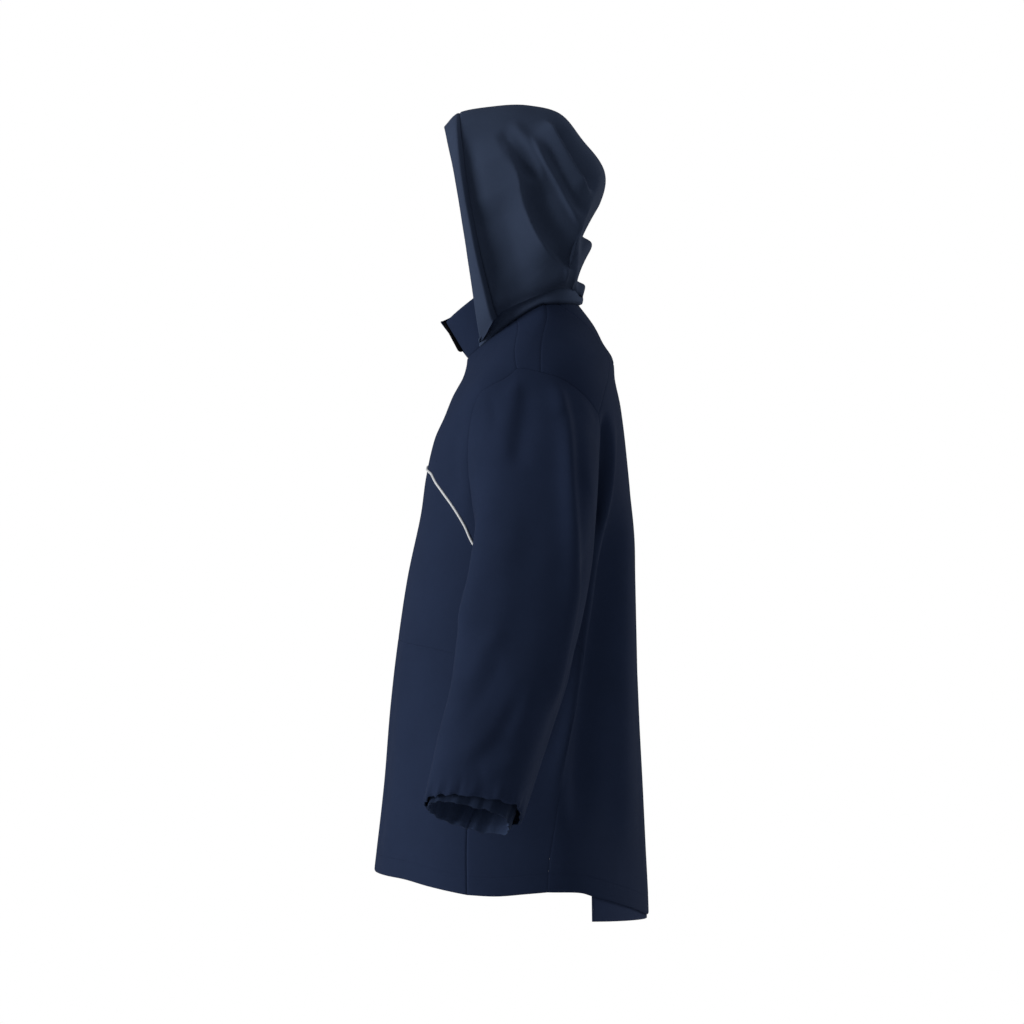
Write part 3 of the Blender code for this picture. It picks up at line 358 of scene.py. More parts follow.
def smooth_body(turn, drop):
    """The body without folds.  Turn runs from 0 at the centre front, by 1 at the centre back, to 2."""
    ring = np.moveaxis(read(BODY_RINGS, drop), -1, 0)
    z_front, z_side, z_back, y_front, y_side, y_back, half_width, square, bow = ring
    across, along = superellipse(np.pi * turn, square)
    y_end = np.where(along < 0, y_front, y_back)
    z_end = np.where(along < 0, z_front, z_back)
    share = np.abs(along)
    return np.stack((half_width * across, y_side + (y_end - y_side) * share,
                     z_side + (z_end - z_side) * share**bow), axis=-1)


def body_facing(turn, drop):
    """Unit normals of the smooth body, pointing out."""
    along = smooth_body(turn + SMALL_STEP, drop) - smooth_body(turn - SMALL_STEP, drop)
    low = np.maximum(drop - SMALL_STEP, 0.0)
    down = smooth_body(turn, drop + SMALL_STEP) - smooth_body(turn, low)
    return unit(np.cross(down, along))


def halve(count, low, high, too_small):
    """Values at which a test changes, found by halving."""
    low, high = np.full(count, float(low)), np.full(count, float(high))
    for _ in range(30):
        middle = (low + high) / 2
        small = too_small(middle)
        low, high = np.where(small, middle, low), np.where(small, high, middle)
    return (low + high) / 2


def place_seams():
    """For each seam a table of length, turn and drop at the points of its path."""
    spots = [(name, y, z) for name, seam in SEAMS.items() for y, z in seam.path]
    y = np.array([0.0 if y in (FRONT, BACK) else y for _, y, _ in spots]) / 1000
    z = np.array([0.0 if z == NECK else z for _, _, z in spots]) / 1000
    at_neck = np.array([z == NECK for _, _, z in spots])

    def drop_for(turn):
        drop = halve(len(z), 0.0, BODY_RINGS[-1, 0],
                     lambda middle: smooth_body(turn, middle)[:, 2] > z)
        return np.where(at_neck, 0.0, drop)

    turn = halve(len(y), 0.0, 1.0, lambda middle: smooth_body(middle, drop_for(middle))[:, 1] < y)
    turn = np.where([y == FRONT for _, y, _ in spots], 0.0, turn)
    turn = np.where([y == BACK for _, y, _ in spots], 1.0, turn)
    drop = drop_for(turn)
    placed = {}
    start = 0
    for name, seam in SEAMS.items():
        end = start + len(seam.path)
        points = smooth_body(turn[start:end], drop[start:end])
        placed[name] = np.column_stack((lengths(points), turn[start:end], drop[start:end]))
        start = end
    return placed


PLACED = place_seams()


def border(names):
    """The steps of a border made of seams, and its (turn, drop) at any places in steps."""
    parts, total = [], 0
    for name in names.split():
        table = PLACED[name.lstrip("-")]
        steps = SEAMS[name.lstrip("-")].steps
        parts.append((total, steps, table, name.startswith("-")))
        total += steps

    def at(places):
        spots = np.zeros((len(places), 2))
        for start, steps, table, backward in parts:
            inside = (places > start - 1e-6) & (places < start + steps + 1e-6)
            share = np.clip((places[inside] - start) / steps, 0, 1)
            if backward:
                share = 1 - share
            spots[inside] = read(table, share * table[-1, 0])
        spots[:, 1] = np.maximum(spots[:, 1], 0.0)
        return spots

    return total, at


def samples(steps, fine, stops):
    """Places along a border, in its steps: fine to a step, and closer beside each stop."""
    places = list(np.linspace(0, steps, int(steps * fine) + 1))
    for stop in stops:
        places += [stop + side * close for close in CLOSE_ROWS for side in (-1, 1)]
        places.append(stop)
    places = np.unique(np.round(np.array(places), 6))
    return places[(places >= 0) & (places <= steps)]


def seam_spots(names, count, mirrored):
    """Turn and drop of evenly spaced points along a sewing line."""
    steps, at = border(names)
    turn, drop = at(np.linspace(0, steps, count)).T
    return (2 - turn if mirrored else turn), drop


def line_points(names, lower, mirrored):
    """Points of a sewing line on the smooth body, or of one below it, close together."""
    length = sum(PLACED[name.lstrip("-")][-1, 0] for name in names.split())
    turn, drop = seam_spots(names, int(length / LINE_SPACING) + 2, mirrored)
    return smooth_body(turn, drop + lower)


# ---------------------------------------------------------------- relief of the cloth
def smooth_path(path, fine):
    """Points of a smooth line through the points of a path."""
    length = lengths(path)
    return read(np.column_stack((length, path)), np.linspace(0, length[-1], fine + 1))


def across_path(spots, path):
    """For each spot, its share along a path and its distance from it, negative on one hand."""
    starts, ends = path[:-1], path[1:]
    best = np.full(len(spots), np.inf)
    share, distance = np.zeros(len(spots)), np.zeros(len(spots))
    for i, (start, end) in enumerate(zip(starts, ends)):
        run = end - start
        offset = spots - start
        t = np.clip(offset @ run / (run @ run), 0, 1)
        gap = np.linalg.norm(offset - t[:, None] * run, axis=1)
        nearer = gap < best
        side = np.sign(run[0] * offset[:, 1] - run[1] * offset[:, 0])
        best = np.where(nearer, gap, best)
        share = np.where(nearer, (i + t) / len(starts), share)
        distance = np.where(nearer, gap * side, distance)
    return share, distance


def facing_weights(normals):
    """For each side, how far cloth faces it, as a share from 0 to 1."""
    return {side: smoothstep((normals @ np.array(outward, float) - FACING_LOW) / FACING_SPAN)
            for side, (_, _, outward) in VIEWS.items()}


def half_weights(points):
    """For the left and the right half, how far each point lies in it."""
    left = smoothstep((points[:, 0] + HALF_BLEND) / (2 * HALF_BLEND))
    return {"left": left, "right": 1 - left}


def fold_lift(points, weights, folds):
    """How far each point is lifted off the smooth surface by a table of folds."""
    lift = np.zeros(len(points))
    for fold in folds:
        first, second, _ = VIEWS[fold.side]
        weight = weights[fold.side]
        spots = points[:, (first, second)]
        path = smooth_path(fold.path, FOLD_FINE)
        reach = FOLD_REACH * max(fold.before, fold.after)
        near = ((weight > 0) & (spots > path.min(axis=0) - reach).all(axis=1)
                & (spots < path.max(axis=0) + reach).all(axis=1))
        if not near.any():
            continue
        share, distance = across_path(spots[near], path)
        width = np.where(distance < 0, fold.before, fold.after)
        taper = smoothstep(share / FOLD_TAPER) * smoothstep((1 - share) / FOLD_TAPER)
        shape = np.exp(-np.abs(distance / width)**fold.roundness)
        lift[near] += fold.height * shape * taper * weight[near]
    return lift


def ripple(points, ripples):
    """Low waves with no pattern."""
    rng = np.random.default_rng(ripples.seed)
    total = np.zeros(len(points))
    for _ in range(RIPPLE_WAVES):
        direction = rng.normal(size=3) * math.tau / np.array(ripples.sizes)
        total += np.sin(points @ direction + rng.uniform(0, math.tau))
    return total / math.sqrt(RIPPLE_WAVES) * ripples.height


def nearest(points, line):
    """Distance from each point to the nearest point of a line."""
    tree = KDTree(len(line))
    for i, spot in enumerate(line):
        tree.insert(spot, i)
    tree.balance()
    return np.array([tree.find(point)[2] for point in points])


def dip_at(distance, dip, sharpness=DIP_SHARPNESS):
    """How far cloth is drawn in at a distance from a line, as a lift below 0."""
    return -dip.depth * np.exp(-(distance / dip.width)**sharpness)


def dip_lift(points, line, dip):
    """How far each point is drawn in by a line."""
    reach = DIP_REACH * dip.width
    near = ((points > line.min(axis=0) - reach) & (points < line.max(axis=0) + reach)).all(axis=1)
    lift = np.zeros(len(points))
    lift[near] = dip_at(nearest(points[near], line), dip)
    return lift


def body_relief(points, normals):
    """Folds and soft waves of the body's cloth, without its seams."""
    low = smoothstep((SWAY_TOP - points[:, 2]) / SWAY_REACH)
    waves = ripple(points, BODY_SWAY) * low + ripple(points, BODY_RIPPLE)
    return fold_lift(points, facing_weights(normals), BODY_FOLDS) + waves


def lifted_body(turn, drop, more=0.0):
    """Points on the body's cloth, or more above it, and the smooth body's normals."""
    smooth, normals = smooth_body(turn, drop), body_facing(turn, drop)
    return smooth + normals * (body_relief(smooth, normals) + more)[:, None], normals


# ---------------------------------------------------------------- meshes
def grid_faces(rows, columns, first, closed=False):
    """Four-sided faces of a grid whose points are numbered row by row, facing out."""
    i, j = np.meshgrid(np.arange(rows - 1), np.arange(columns if closed else columns - 1),
                       indexing="ij")
    k = (j + 1) % columns
    corners = (i * columns + j, (i + 1) * columns + j, (i + 1) * columns + k, i * columns + k)
    return first + np.stack(corners, axis=-1).reshape(-1, 4)


def grid_normals(grid, closed):
    """Unit normals of a grid of points whose rows run down and whose columns run back."""
    if closed:
        along = np.roll(grid, -1, axis=1) - np.roll(grid, 1, axis=1)
    else:
        along = np.gradient(grid, axis=1)
    down = np.gradient(grid, axis=0)
    return unit(np.cross(down, along))


def even_grain(grid, pitch):
    """Where each point of a grid lies on the flat cloth, with rows and columns evenly spaced."""
    return np.stack(np.indices(grid.shape[:2]), axis=-1) * np.array(pitch)


def make_object(name, points, faces, finish, grain=None):
    """A smooth mesh with its material, and its places on the flat cloth for the weave."""
    mesh = bpy.data.meshes.new(name)
    mesh.from_pydata([tuple(p) for p in points.tolist()], [], [tuple(f) for f in faces.tolist()])
    if grain is not None:
        layer = mesh.attributes.new("grain", "FLOAT_VECTOR", "POINT")
        flat = np.column_stack((grain, np.zeros(len(grain)))).astype(np.float32)
        layer.data.foreach_set("vector", flat.ravel())
    edit = bmesh.new()
    edit.from_mesh(mesh)
    bmesh.ops.remove_doubles(edit, verts=edit.verts, dist=1e-6)
    edit.to_mesh(mesh)
    edit.free()
    mesh.shade_smooth()
    mesh.materials.append(finished(finish))
    made = bpy.data.objects.new(name, mesh)
    bpy.context.scene.collection.objects.link(made)
    return made


def thicken(made, wall):
    """Give a surface its wall, behind the outer face."""
    solid = made.modifiers.new("wall", "SOLIDIFY")
    solid.thickness = wall
    solid.offset = -1
    solid.use_even_offset = False


def dress(made, node):
    """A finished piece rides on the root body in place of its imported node."""
    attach(made, "root")
    if node:
        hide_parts(node)


def cloth_piece(name, node, slot, grid, grain, wall, closed=False):
    """A sheet of cloth whose outer face is a grid of points, closed where it goes round."""
    faces = grid_faces(grid.shape[0], grid.shape[1], 0, closed)
    made = make_object(name, grid.reshape(-1, 3), faces, slot, grain.reshape(-1, 2))
    thicken(made, wall)
    dress(made, node)
    return made


# ---------------------------------------------------------------- body panels
Block = namedtuple("Block", "top bottom front back fine_down across_stops down_stops")
# Sewn lines are drawn in, edges are turned under, and stitched lines run HEM_DEPTH above a hem.
Panel = namedtuple("Panel", "blocks fine_across sewn edges hems sheet")
PANELS = {
    "front_yoke": Panel(
        (Block("neck_front strip_front", "chest_line", "edge_chest", "armhole_front", 8,
               (0, 4, 7), (0,)),
         Block("chest_line underarm_front", "piping", "edge_piping", "side_top", 8,
               (0, 7, 10), (2,))),
        9, ("neck_front", "strip_front", "armhole_front", "underarm_front", "side_top"),
        ("edge_chest edge_piping",), (), (0.32, 0.33, 0.063)),
    "front_middle": Panel(
        (Block("piping", "waist_front", "edge_middle", "side_middle", 12, (0, 10), (0, 5)),),
        8, ("waist_front", "side_middle"), ("edge_middle",), (), (0.33, 0.25, 0.070)),
    "front_skirt": Panel(
        (Block("waist_front", "hem_front", "edge_skirt", "side_low", 11, (0, 10),
               (0, 7.4, 8)),),
        9, ("waist_front", "side_low"), ("edge_skirt", "hem_front"), ("hem_front",),
        (0.37, 0.34, 0.110)),
    "side_skirt": Panel(
        (Block("waist_back", "hem_side", "side_low", "back_side", 11, (0, 4), (0, 7.4, 8)),),
        8, ("waist_back", "side_low", "back_side"), ("hem_side",), ("hem_side",),
        (0.14, 0.35, 0.045)),
    "shoulder_strip": Panel(
        (Block("neck_strip", "armhole_top", "strip_front", "strip_back", 16, (0, 2), (0, 3)),),
        7, ("neck_strip", "armhole_top", "strip_front", "strip_back"), (), (),
        (0.045, 0.18, 0.0065)),
    "shoulder_blade": Panel(
        (Block("neck_blade yoke_side", "armhole_blade", "strip_back", "princess", 16,
               (0, 1, 4), (0, 3)),),
        10, ("neck_blade", "yoke_side", "armhole_blade", "strip_back", "princess"), (), (),
        (0.16, 0.19, 0.017)),
}
BACK_PANEL = Panel(
    (Block("-princess yoke_hem", "blade_line", "armhole_back", "spine_chest", 10,
           (0, 3), (0,)),
     Block("underarm_back blade_line", "waist_back loin_line", "side_top side_middle",
           "spine_middle", 8, (0, 4), (0, 7)),
     Block("loin_line", "hem_back hem_tail", "back_side", "spine_skirt", 10, (0,), (7.4, 8))),
    8, ("princess", "yoke_hem", "armhole_back", "underarm_back", "side_top", "side_middle",
         "waist_back", "back_side"),
    ("hem_back hem_tail",), ("hem_back hem_tail",), (0.86, 0.81, 0.460))
YOKE_PANEL = Panel(
    (Block("neck_yoke", "yoke_hem", "yoke_side", "spine_yoke", 10, (0,), (0, 3)),),
    9, ("neck_yoke", "yoke_side", "yoke_hem"), (), (), (0.28, 0.10, 0.018))


def spread(block, fine_across):
    """A grid of (turn, drop) inside four borders."""
    across, top = border(block.top)
    down, front = border(block.front)
    bottom, back = border(block.bottom)[1], border(block.back)[1]
    u_places = samples(across, fine_across, block.across_stops)
    v_places = samples(down, block.fine_down, block.down_stops)
    u = (u_places / across)[None, :, None]
    v = (v_places / down)[:, None, None]
    top, bottom = top(u_places)[None], bottom(u_places)[None]
    front, back = front(v_places)[:, None], back(v_places)[:, None]
    return ((1 - v) * top + v * bottom + (1 - u) * front + u * back
            - (1 - u) * (1 - v) * top[:, :1] - u * (1 - v) * top[:, -1:]
            - (1 - u) * v * bottom[:, :1] - u * v * bottom[:, -1:])


def mirror_spots(grid):
    """The like grid of the other half."""
    flipped = grid[:, ::-1].copy()
    flipped[..., 0] = 2 - flipped[..., 0]
    return flipped


def part_front(points):
    """Move the cloth beside the centre front aside, to leave the opening that the zip fills."""
    front = points[:, 1] < 0
    near = 1 - smoothstep(np.abs(points[:, 0]) / ZIP_SLOT_REACH)
    side = np.where(points[:, 0] >= 0, 1.0, -1.0)
    points[:, 0] += np.where(front, side * near * ZIP_SLOT, 0.0)


def body_panel(name, node, panel, grids, sides, inward=0.0, finish="jacket_cloth"):
    """One piece of the body.  sides says on which halves its sewing lines lie."""
    dips = []
    for mirrored in sides:
        dips += [(line_points(seam, 0.0, mirrored), SEAM_DIPS.get(seam, SEAM_DIP))
                 for seam in panel.sewn]
        dips += [(line_points(seam, 0.0, mirrored), EDGE_DIP) for seam in panel.edges]
        dips += [(line_points(seam, -HEM_DEPTH, mirrored), STITCH_DIP) for seam in panel.hems]
    points, faces, grain, count = [], [], [], 0
    for grid in grids:
        turn, drop = grid[..., 0].ravel(), grid[..., 1].ravel()
        smooth, normals = smooth_body(turn, drop), body_facing(turn, drop)
        lift = body_relief(smooth, normals) - inward
        lift += sum(dip_lift(smooth, line, dip) for line, dip in dips)
        block = smooth + normals * lift[:, None]
        if inward == 0:
            part_front(block)
        points.append(block)
        grain.append(np.column_stack((turn * math.pi * BODY_RADIUS, drop)))
        faces.append(grid_faces(grid.shape[0], grid.shape[1], count))
        count += len(smooth)
    made = make_object(name, np.concatenate(points), np.concatenate(faces), finish,
                       np.concatenate(grain))
    thicken(made, WALL)
    dress(made, node)


def build_body():
    """The panels in pairs, and the two that go across the back."""
    for name, panel in PANELS.items():
        grids = [spread(block, panel.fine_across) for block in panel.blocks]
        body_panel(f"{name}_left_cloth", f"{name}_left", panel, grids, (False,))
        body_panel(f"{name}_right_cloth", f"{name}_right", panel,
                   [mirror_spots(grid) for grid in grids], (True,))
    for name, panel in (("back_yoke", YOKE_PANEL), ("back", BACK_PANEL)):
        grids = [spread(block, panel.fine_across) for block in panel.blocks]
        grids += [mirror_spots(grid) for grid in grids]
        body_panel(f"{name}_cloth", name, panel, grids, (False, True))


# ---------------------------------------------------------------- sleeves
SLEEVE_BLEND = 0.22        # share of the sleeve over which the armhole's shape fades into its rings
ARMHOLE = "armhole_top armhole_blade armhole_back -underarm_back -underarm_front -armhole_front"
SIDE_SEAM_PLACE = 14       # steps round the armhole to the side seam
SLEEVE_FINE_ROUND = 6
SLEEVE_BACK_SQUARE = 1.3   # how much squarer than its front the back of a sleeve hangs
SLEEVE_ROWS = 144
SLEEVE_CLOSE_WAYS = (0.001, 0.003, 0.0055, 0.9955, 0.9975, 0.999)   # extra rows at its ends
SLEEVE_FOLDS_START = 0.05
SLEEVE_RIPPLE_START = 0.2
SLEEVE_LENGTH = 0.64
SLEEVE_RADIUS = 0.085
GATHERS = 15               # of the sleeve's end, and of the inner cuff
GATHERS_REACH = 0.07       # share of the sleeve over which the gathers of its end die out
GATHERS_DEPTH = 0.0022
GATHERS_SCALLOP = 0.0022   # waves of the sleeve's very end along its length
SLEEVE_END_DIP = Dip(0.0026, 0.0022)
SLEEVE_END_SHARPNESS = 1.5
SLEEVE_END_ROWS = 7        # its last rows, which give the direction in which it leaves
SLEEVE_SEEDS = {"left": (30, 32), "right": (31, 33)}     # of its gathers and of its scallops


def sleeve_ring(way, angle):
    """Angle 0 is the outer edge of the sleeve, a quarter turn on is its back."""
    x_out, z_out, x_in, z_in, y_middle, half_depth, square, tilt = np.moveaxis(
        read(SLEEVE_RINGS, way), -1, 0)
    across, along = superellipse(angle, square + SLEEVE_BACK_SQUARE * np.maximum(np.sin(angle), 0))
    outer = np.stack((x_out, y_middle, z_out), axis=-1)
    inner = np.stack((x_in, y_middle, z_in), axis=-1)
    ring = (outer + inner) / 2 - (outer - inner) / 2 * along[..., None]
    ring[..., 1] += half_depth * across
    ring[..., 2] -= half_depth * across * tilt
    return ring


def with_extra(count, extra):
    """Evenly spaced shares from 0 to 1, with extra ones among them."""
    return np.unique(np.round(np.concatenate((np.linspace(0, 1, count), extra)), 6))


def sleeve_base(mirrored, ways):
    """The sleeve's smooth rings, the first one on the armhole, and the angle of each column."""
    steps, at = border(ARMHOLE)
    places = samples(steps, SLEEVE_FINE_ROUND, (0, SIDE_SEAM_PLACE, steps))[:-1]
    turn, drop = at(places).T
    if mirrored:
        turn = 2 - turn
    start, _ = lifted_body(turn, drop)
    if mirrored:
        start[:, 0] *= -1
    first = SLEEVE_RINGS[0]
    z_middle, half_height = (first[2] + first[4]) / 2, (first[2] - first[4]) / 2
    angle = np.arctan2((start[:, 1] - first[5]) / first[6], (start[:, 2] - z_middle) / half_height)
    way, angles = np.meshgrid(ways, angle, indexing="ij")
    blend = 1 - smoothstep(way / SLEEVE_BLEND)
    offset = start[None] - sleeve_ring(np.zeros_like(angle), angle)[None]
    rings = sleeve_ring(way, angles) + offset * blend[..., None]
    if mirrored:
        rings = rings[:, ::-1] * MIRROR
        angles = angles[:, ::-1]
    return rings, angles


def sleeve_outward(rings):
    """The direction in which a sleeve leaves its end."""
    return unit((rings[-1] - rings[-1 - SLEEVE_END_ROWS]).mean(axis=0))


def gathers(angle, seed):
    """Uneven gathers round a cuff, from -1 to 1."""
    phase = np.random.default_rng(seed).uniform(0, math.tau, 5)
    warped = angle * GATHERS + 1.3 * np.sin(2 * angle + phase[0]) + 0.9 * np.sin(5 * angle + phase[1])
    swell = 0.75 + 0.25 * np.sin(3 * angle + phase[4])
    return swell * (0.75 * np.sin(warped + phase[2]) + 0.25 * np.sin(2.3 * warped + phase[3]))


def build_sleeves():
    """Both sleeves, with their folds and the gathers of their ends."""
    ways = with_extra(SLEEVE_ROWS + 1, SLEEVE_CLOSE_WAYS)
    for side, (pleat_seed, scallop_seed) in SLEEVE_SEEDS.items():
        rings, angles = sleeve_base(side == "right", ways)
        flat = rings.reshape(-1, 3)
        normals = grid_normals(rings, closed=True).reshape(-1, 3)
        way = np.repeat(ways, rings.shape[1])
        lift = (fold_lift(flat, facing_weights(normals), SLEEVE_FOLDS)
                * smoothstep(way / SLEEVE_FOLDS_START))
        lift += ripple(flat, SLEEVE_RIPPLE) * smoothstep(way / SLEEVE_RIPPLE_START)
        lift += dip_at(way * SLEEVE_LENGTH, SEAM_DIPS["armhole_front"])
        near_end = smoothstep((way - 1 + GATHERS_REACH) / GATHERS_REACH)**2
        pleats = gathers(angles.ravel(), pleat_seed)
        lift += near_end * pleats * GATHERS_DEPTH
        lift += dip_at((1 - way) * SLEEVE_LENGTH, SLEEVE_END_DIP, SLEEVE_END_SHARPNESS)
        scallops = gathers(angles.ravel(), scallop_seed)
        points = (flat + normals * lift[:, None]
                  + sleeve_outward(rings) * (near_end * scallops * GATHERS_SCALLOP)[:, None])
        grain = np.column_stack((angles.ravel() * SLEEVE_RADIUS, way * SLEEVE_LENGTH))
        cloth_piece(f"sleeve_{side}_cloth", f"sleeve_{side}", "jacket_cloth",
                    points.reshape(rings.shape), grain, WALL, closed=True)


# ---------------------------------------------------------------- inner cuffs
# share inset forward beyond, of rings that start on the sleeve's inner face
CUFF_RINGS = np.array((
    (0.00, 0.0031, 0.000, 0.000),
    (0.85, 0.0120, 0.006, 0.000),
    (1.00, 0.0125, 0.007, 0.009),
))
CUFF_START_WAY = 0.8333
CUFF_AIM_WAYS = np.linspace(0.95, 1, SLEEVE_END_ROWS + 1)
CUFF_BACK_CLOSER = 0.55    # how much nearer the sleeve it lies at the back
CUFF_SLANT = 0.9           # how much further than the front the back of a cuff sticks out
CUFF_GATHERS_DEPTH = 0.0024
CUFF_SCALLOP = 0.0016
CUFF_SEEDS = {"left": (40, 42), "right": (41, 43)}
CUFF_ROWS = 45
CUFF_CLOSE_SHARES = (0.985, 0.993)
CUFF_LENGTH = 0.12
CUFF_RADIUS = 0.07


def build_inner_cuffs():
    """The elastic cuffs inside the sleeves' ends."""
    shares = with_extra(CUFF_ROWS + 1, CUFF_CLOSE_SHARES)
    inset, forward, beyond = read(CUFF_RINGS, shares).T
    ways = CUFF_START_WAY + (1 - CUFF_START_WAY) * np.minimum(shares / CUFF_RINGS[1, 0], 1)
    for side, (pleat_seed, scallop_seed) in CUFF_SEEDS.items():
        mirrored = side == "right"
        rings, angles = sleeve_base(mirrored, ways)
        outward = sleeve_outward(sleeve_base(mirrored, CUFF_AIM_WAYS)[0])
        away = rings - rings.mean(axis=1, keepdims=True)
        normals = unit(away - outward * (away @ outward)[..., None])
        pleats, scallops = gathers(angles, pleat_seed), gathers(angles, scallop_seed)
        depth = CUFF_GATHERS_DEPTH * smoothstep(shares / 0.5)[:, None]
        slant = 1 + CUFF_SLANT * np.sin(angles)
        reach = beyond[:, None] * slant + CUFF_SCALLOP * scallops * smoothstep(shares)[:, None]
        gap = inset[:, None] * (1 - CUFF_BACK_CLOSER * np.maximum(np.sin(angles), 0))
        points = (rings - normals * (gap + depth * (0.5 - pleats))[..., None]
                  + outward * reach[..., None])
        points[..., 1] -= forward[:, None]
        length = np.repeat(shares[:, None] * CUFF_LENGTH, rings.shape[1], axis=1)
        grain = np.stack((angles * CUFF_RADIUS, length), axis=-1)
        made = cloth_piece(f"inner_cuff_{side}_knit", f"inner_cuff_{side}", "cuff_knit", points,
                           grain, CUFF_WALL, closed=True)
        # The inner face gets a lighter copy of the knit: painted light inside the cuff's far wall.
        made.data.materials.append(finished("cuff_inside"))
        made.modifiers["wall"].material_offset = 1


# ---------------------------------------------------------------- hood
BRIM_STATION = 1.0         # of the seam between the brim and the two halves of the hood
HOOD_SQUARE = 2.25
HOOD_FOLD_FADE = 0.030     # folds fade within this of the seam over the head
OVER_POINTS = 900          # of a line over the hood, and of one back along it
BACK_POINTS = 500
BRIM_ROLL = 0.010          # how far the edge round the face turns in at the sides
BRIM_SWELL = 0.011         # and how far the brim stands out beside its seam
BRIM_CREST = 0.88          # share of the brim's width at which it begins to drop to the seam
BRIM_ROLL_SIDE = 0.5       # and how far from the top it does so in full
HOOD_FINE = 15             # columns to a station, and rows to a ninth of a half hood
HOOD_ROWS = 9
HOOD_PITCH = 0.045         # from one station to the next on the flat cloth
HOOD_HALF = 0.36           # over one half of the hood on the flat cloth


def smooth_hood(station, rise):
    """Rise runs from 0 at the left foot of a hoop, by 1 over the head, to 2 on the right."""
    _, y_base, z_base, x_base, y_top, z_top, half_width, lean = np.moveaxis(
        read(HOOD_HOOPS, station), -1, 0)
    foot = np.arccos(np.minimum(x_base / half_width, 1.0))
    up = 1 - np.abs(1 - rise)
    angle = -foot + (np.pi / 2 + foot) * up
    power = np.where(angle > 0, 2 / HOOD_SQUARE, 1.0)
    climb = np.sign(angle) * np.abs(np.sin(angle))**power
    share = (climb + np.sin(foot)) / (1 + np.sin(foot))
    x = half_width * np.maximum(np.cos(angle), 0.0)**power
    bend = lean * 4 * share * (1 - share)
    return np.stack((np.where(rise <= 1, x, -x), y_base + (y_top - y_base) * share + bend,
                     z_base + (z_top - z_base) * share), axis=-1)


def hood_facing(station, rise):
    """Unit normals of the smooth hood, pointing out."""
    last = HOOD_HOOPS[-1, 0]
    back = (smooth_hood(np.minimum(station + 2 * HOOD_STEP, last), rise)
            - smooth_hood(np.maximum(station - 2 * HOOD_STEP, 0), rise))
    over = (smooth_hood(station, np.minimum(rise + HOOD_STEP, 2))
            - smooth_hood(station, np.maximum(rise - HOOD_STEP, 0)))
    return unit(np.cross(back, over))


def hood_foot():
    """Both lower edges of the hood and its brim, from the face opening to the nape."""
    station = np.linspace(0, HOOD_HOOPS[-1, 0], BACK_POINTS)
    return np.concatenate([smooth_hood(station, np.full_like(station, rise)) for rise in (0, 2)])


def hood_points(station, rise, dips, foot):
    """Outer face of the hood, with folds, ripples, seams, the brim's roll and the rolled foot."""
    smooth, normals = smooth_hood(station, rise), hood_facing(station, rise)
    fade = smoothstep(np.abs(smooth[:, 0]) / HOOD_FOLD_FADE)
    facing = smoothstep((np.abs(normals[:, 0]) - HOOD_FACING_LOW) / HOOD_FACING_SPAN)
    lift = fold_lift(smooth, half_weights(smooth), HOOD_FOLDS) * fade * facing
    lift += ripple(smooth, HOOD_RIPPLE)
    beside = smoothstep(np.abs(1 - rise) / BRIM_ROLL_SIDE)
    across_brim = np.clip(station, 0, 1)
    crest = across_brim * (1 - smoothstep((across_brim - BRIM_CREST) / (1 - BRIM_CREST)))
    lift += (BRIM_SWELL * crest - BRIM_ROLL * (1 - across_brim)**1.5) * beside
    lift += sum(dip_lift(smooth, line, dip) for line, dip in dips)
    curl = 1 + FACE_CURL * (1 - smoothstep(station / FACE_CURL_REACH))
    curl *= 1 - smoothstep((station - NAPE_STATION) / NAPE_REACH)
    lift += dip_lift(smooth, foot, FOOT_CURL) * curl
    return smooth + normals * lift[:, None]


def hood_piece(name, node, stations, rises, dips):
    """A piece of the hood between the first and the last of its stations and rises."""
    rise, station = np.meshgrid(rises[::-1], stations, indexing="ij")
    points = hood_points(station.ravel(), rise.ravel(), dips, hood_foot())
    grain = np.column_stack((station.ravel() * HOOD_PITCH, rise.ravel() * HOOD_HALF))
    cloth_piece(name, node, "hood_cloth", points.reshape(*station.shape, 3), grain, WALL)


def build_hood():
    """The two halves of the hood and its brim."""
    last = HOOD_HOOPS[-1, 0]
    over = np.linspace(0, 2, OVER_POINTS)
    back = np.linspace(BRIM_STATION, last, BACK_POINTS)
    brim_seam = (smooth_hood(np.full_like(over, BRIM_STATION), over), SEAM_DIPS["side_low"])
    crown_seam = (smooth_hood(back, np.ones_like(back)), SEAM_DIPS["back_side"])
    face_edge = (smooth_hood(np.zeros_like(over), over), EDGE_DIP)
    stations = BRIM_STATION + samples(last - BRIM_STATION, HOOD_FINE, (0,))
    rises = samples(HOOD_ROWS, HOOD_FINE, (0, HOOD_ROWS)) / HOOD_ROWS
    for side, start in (("left", 0), ("right", 1)):
        hood_piece(f"hood_{side}_cloth", f"hood_{side}", stations, start + rises,
                   (brim_seam, crown_seam))
    hood_piece("hood_brim_cloth", "hood_brim", samples(1, HOOD_FINE, (0, 1)),
               samples(2 * HOOD_ROWS, HOOD_FINE, (0, 2 * HOOD_ROWS)) / HOOD_ROWS,
               (brim_seam, face_edge))


# ---------------------------------------------------------------- hood band and collar
BAND_ROWS = 15
BAND_COLUMNS = 220         # from the face to the nape
BAND_PITCH = (0.0013, 0.0010)
BAND_SWELL = 0.0055        # how far the band bulges out above the neck seam
BAND_TUCK = 0.0140         # and how far its top edge is tucked in behind the hood's edge
BAND_FACE_TUCK = 0.15      # share of it beside the face
BAND_RISE = 0.0090         # and how far above the hood's edge it reaches, with more at the nape
NAPE_RISE = 0.0070
BAND_SEW_IN = 0.0015       # how far its lower edge is sewn in below the edge of the body
BAND_LOW = 0.62            # under 1 puts the fullest part of the bulge below its middle
BAND_SWELL_REACH = 1.2     # stations from the face over which it swells
BAND_TURN = 0.35           # share of its height at which it begins to turn in


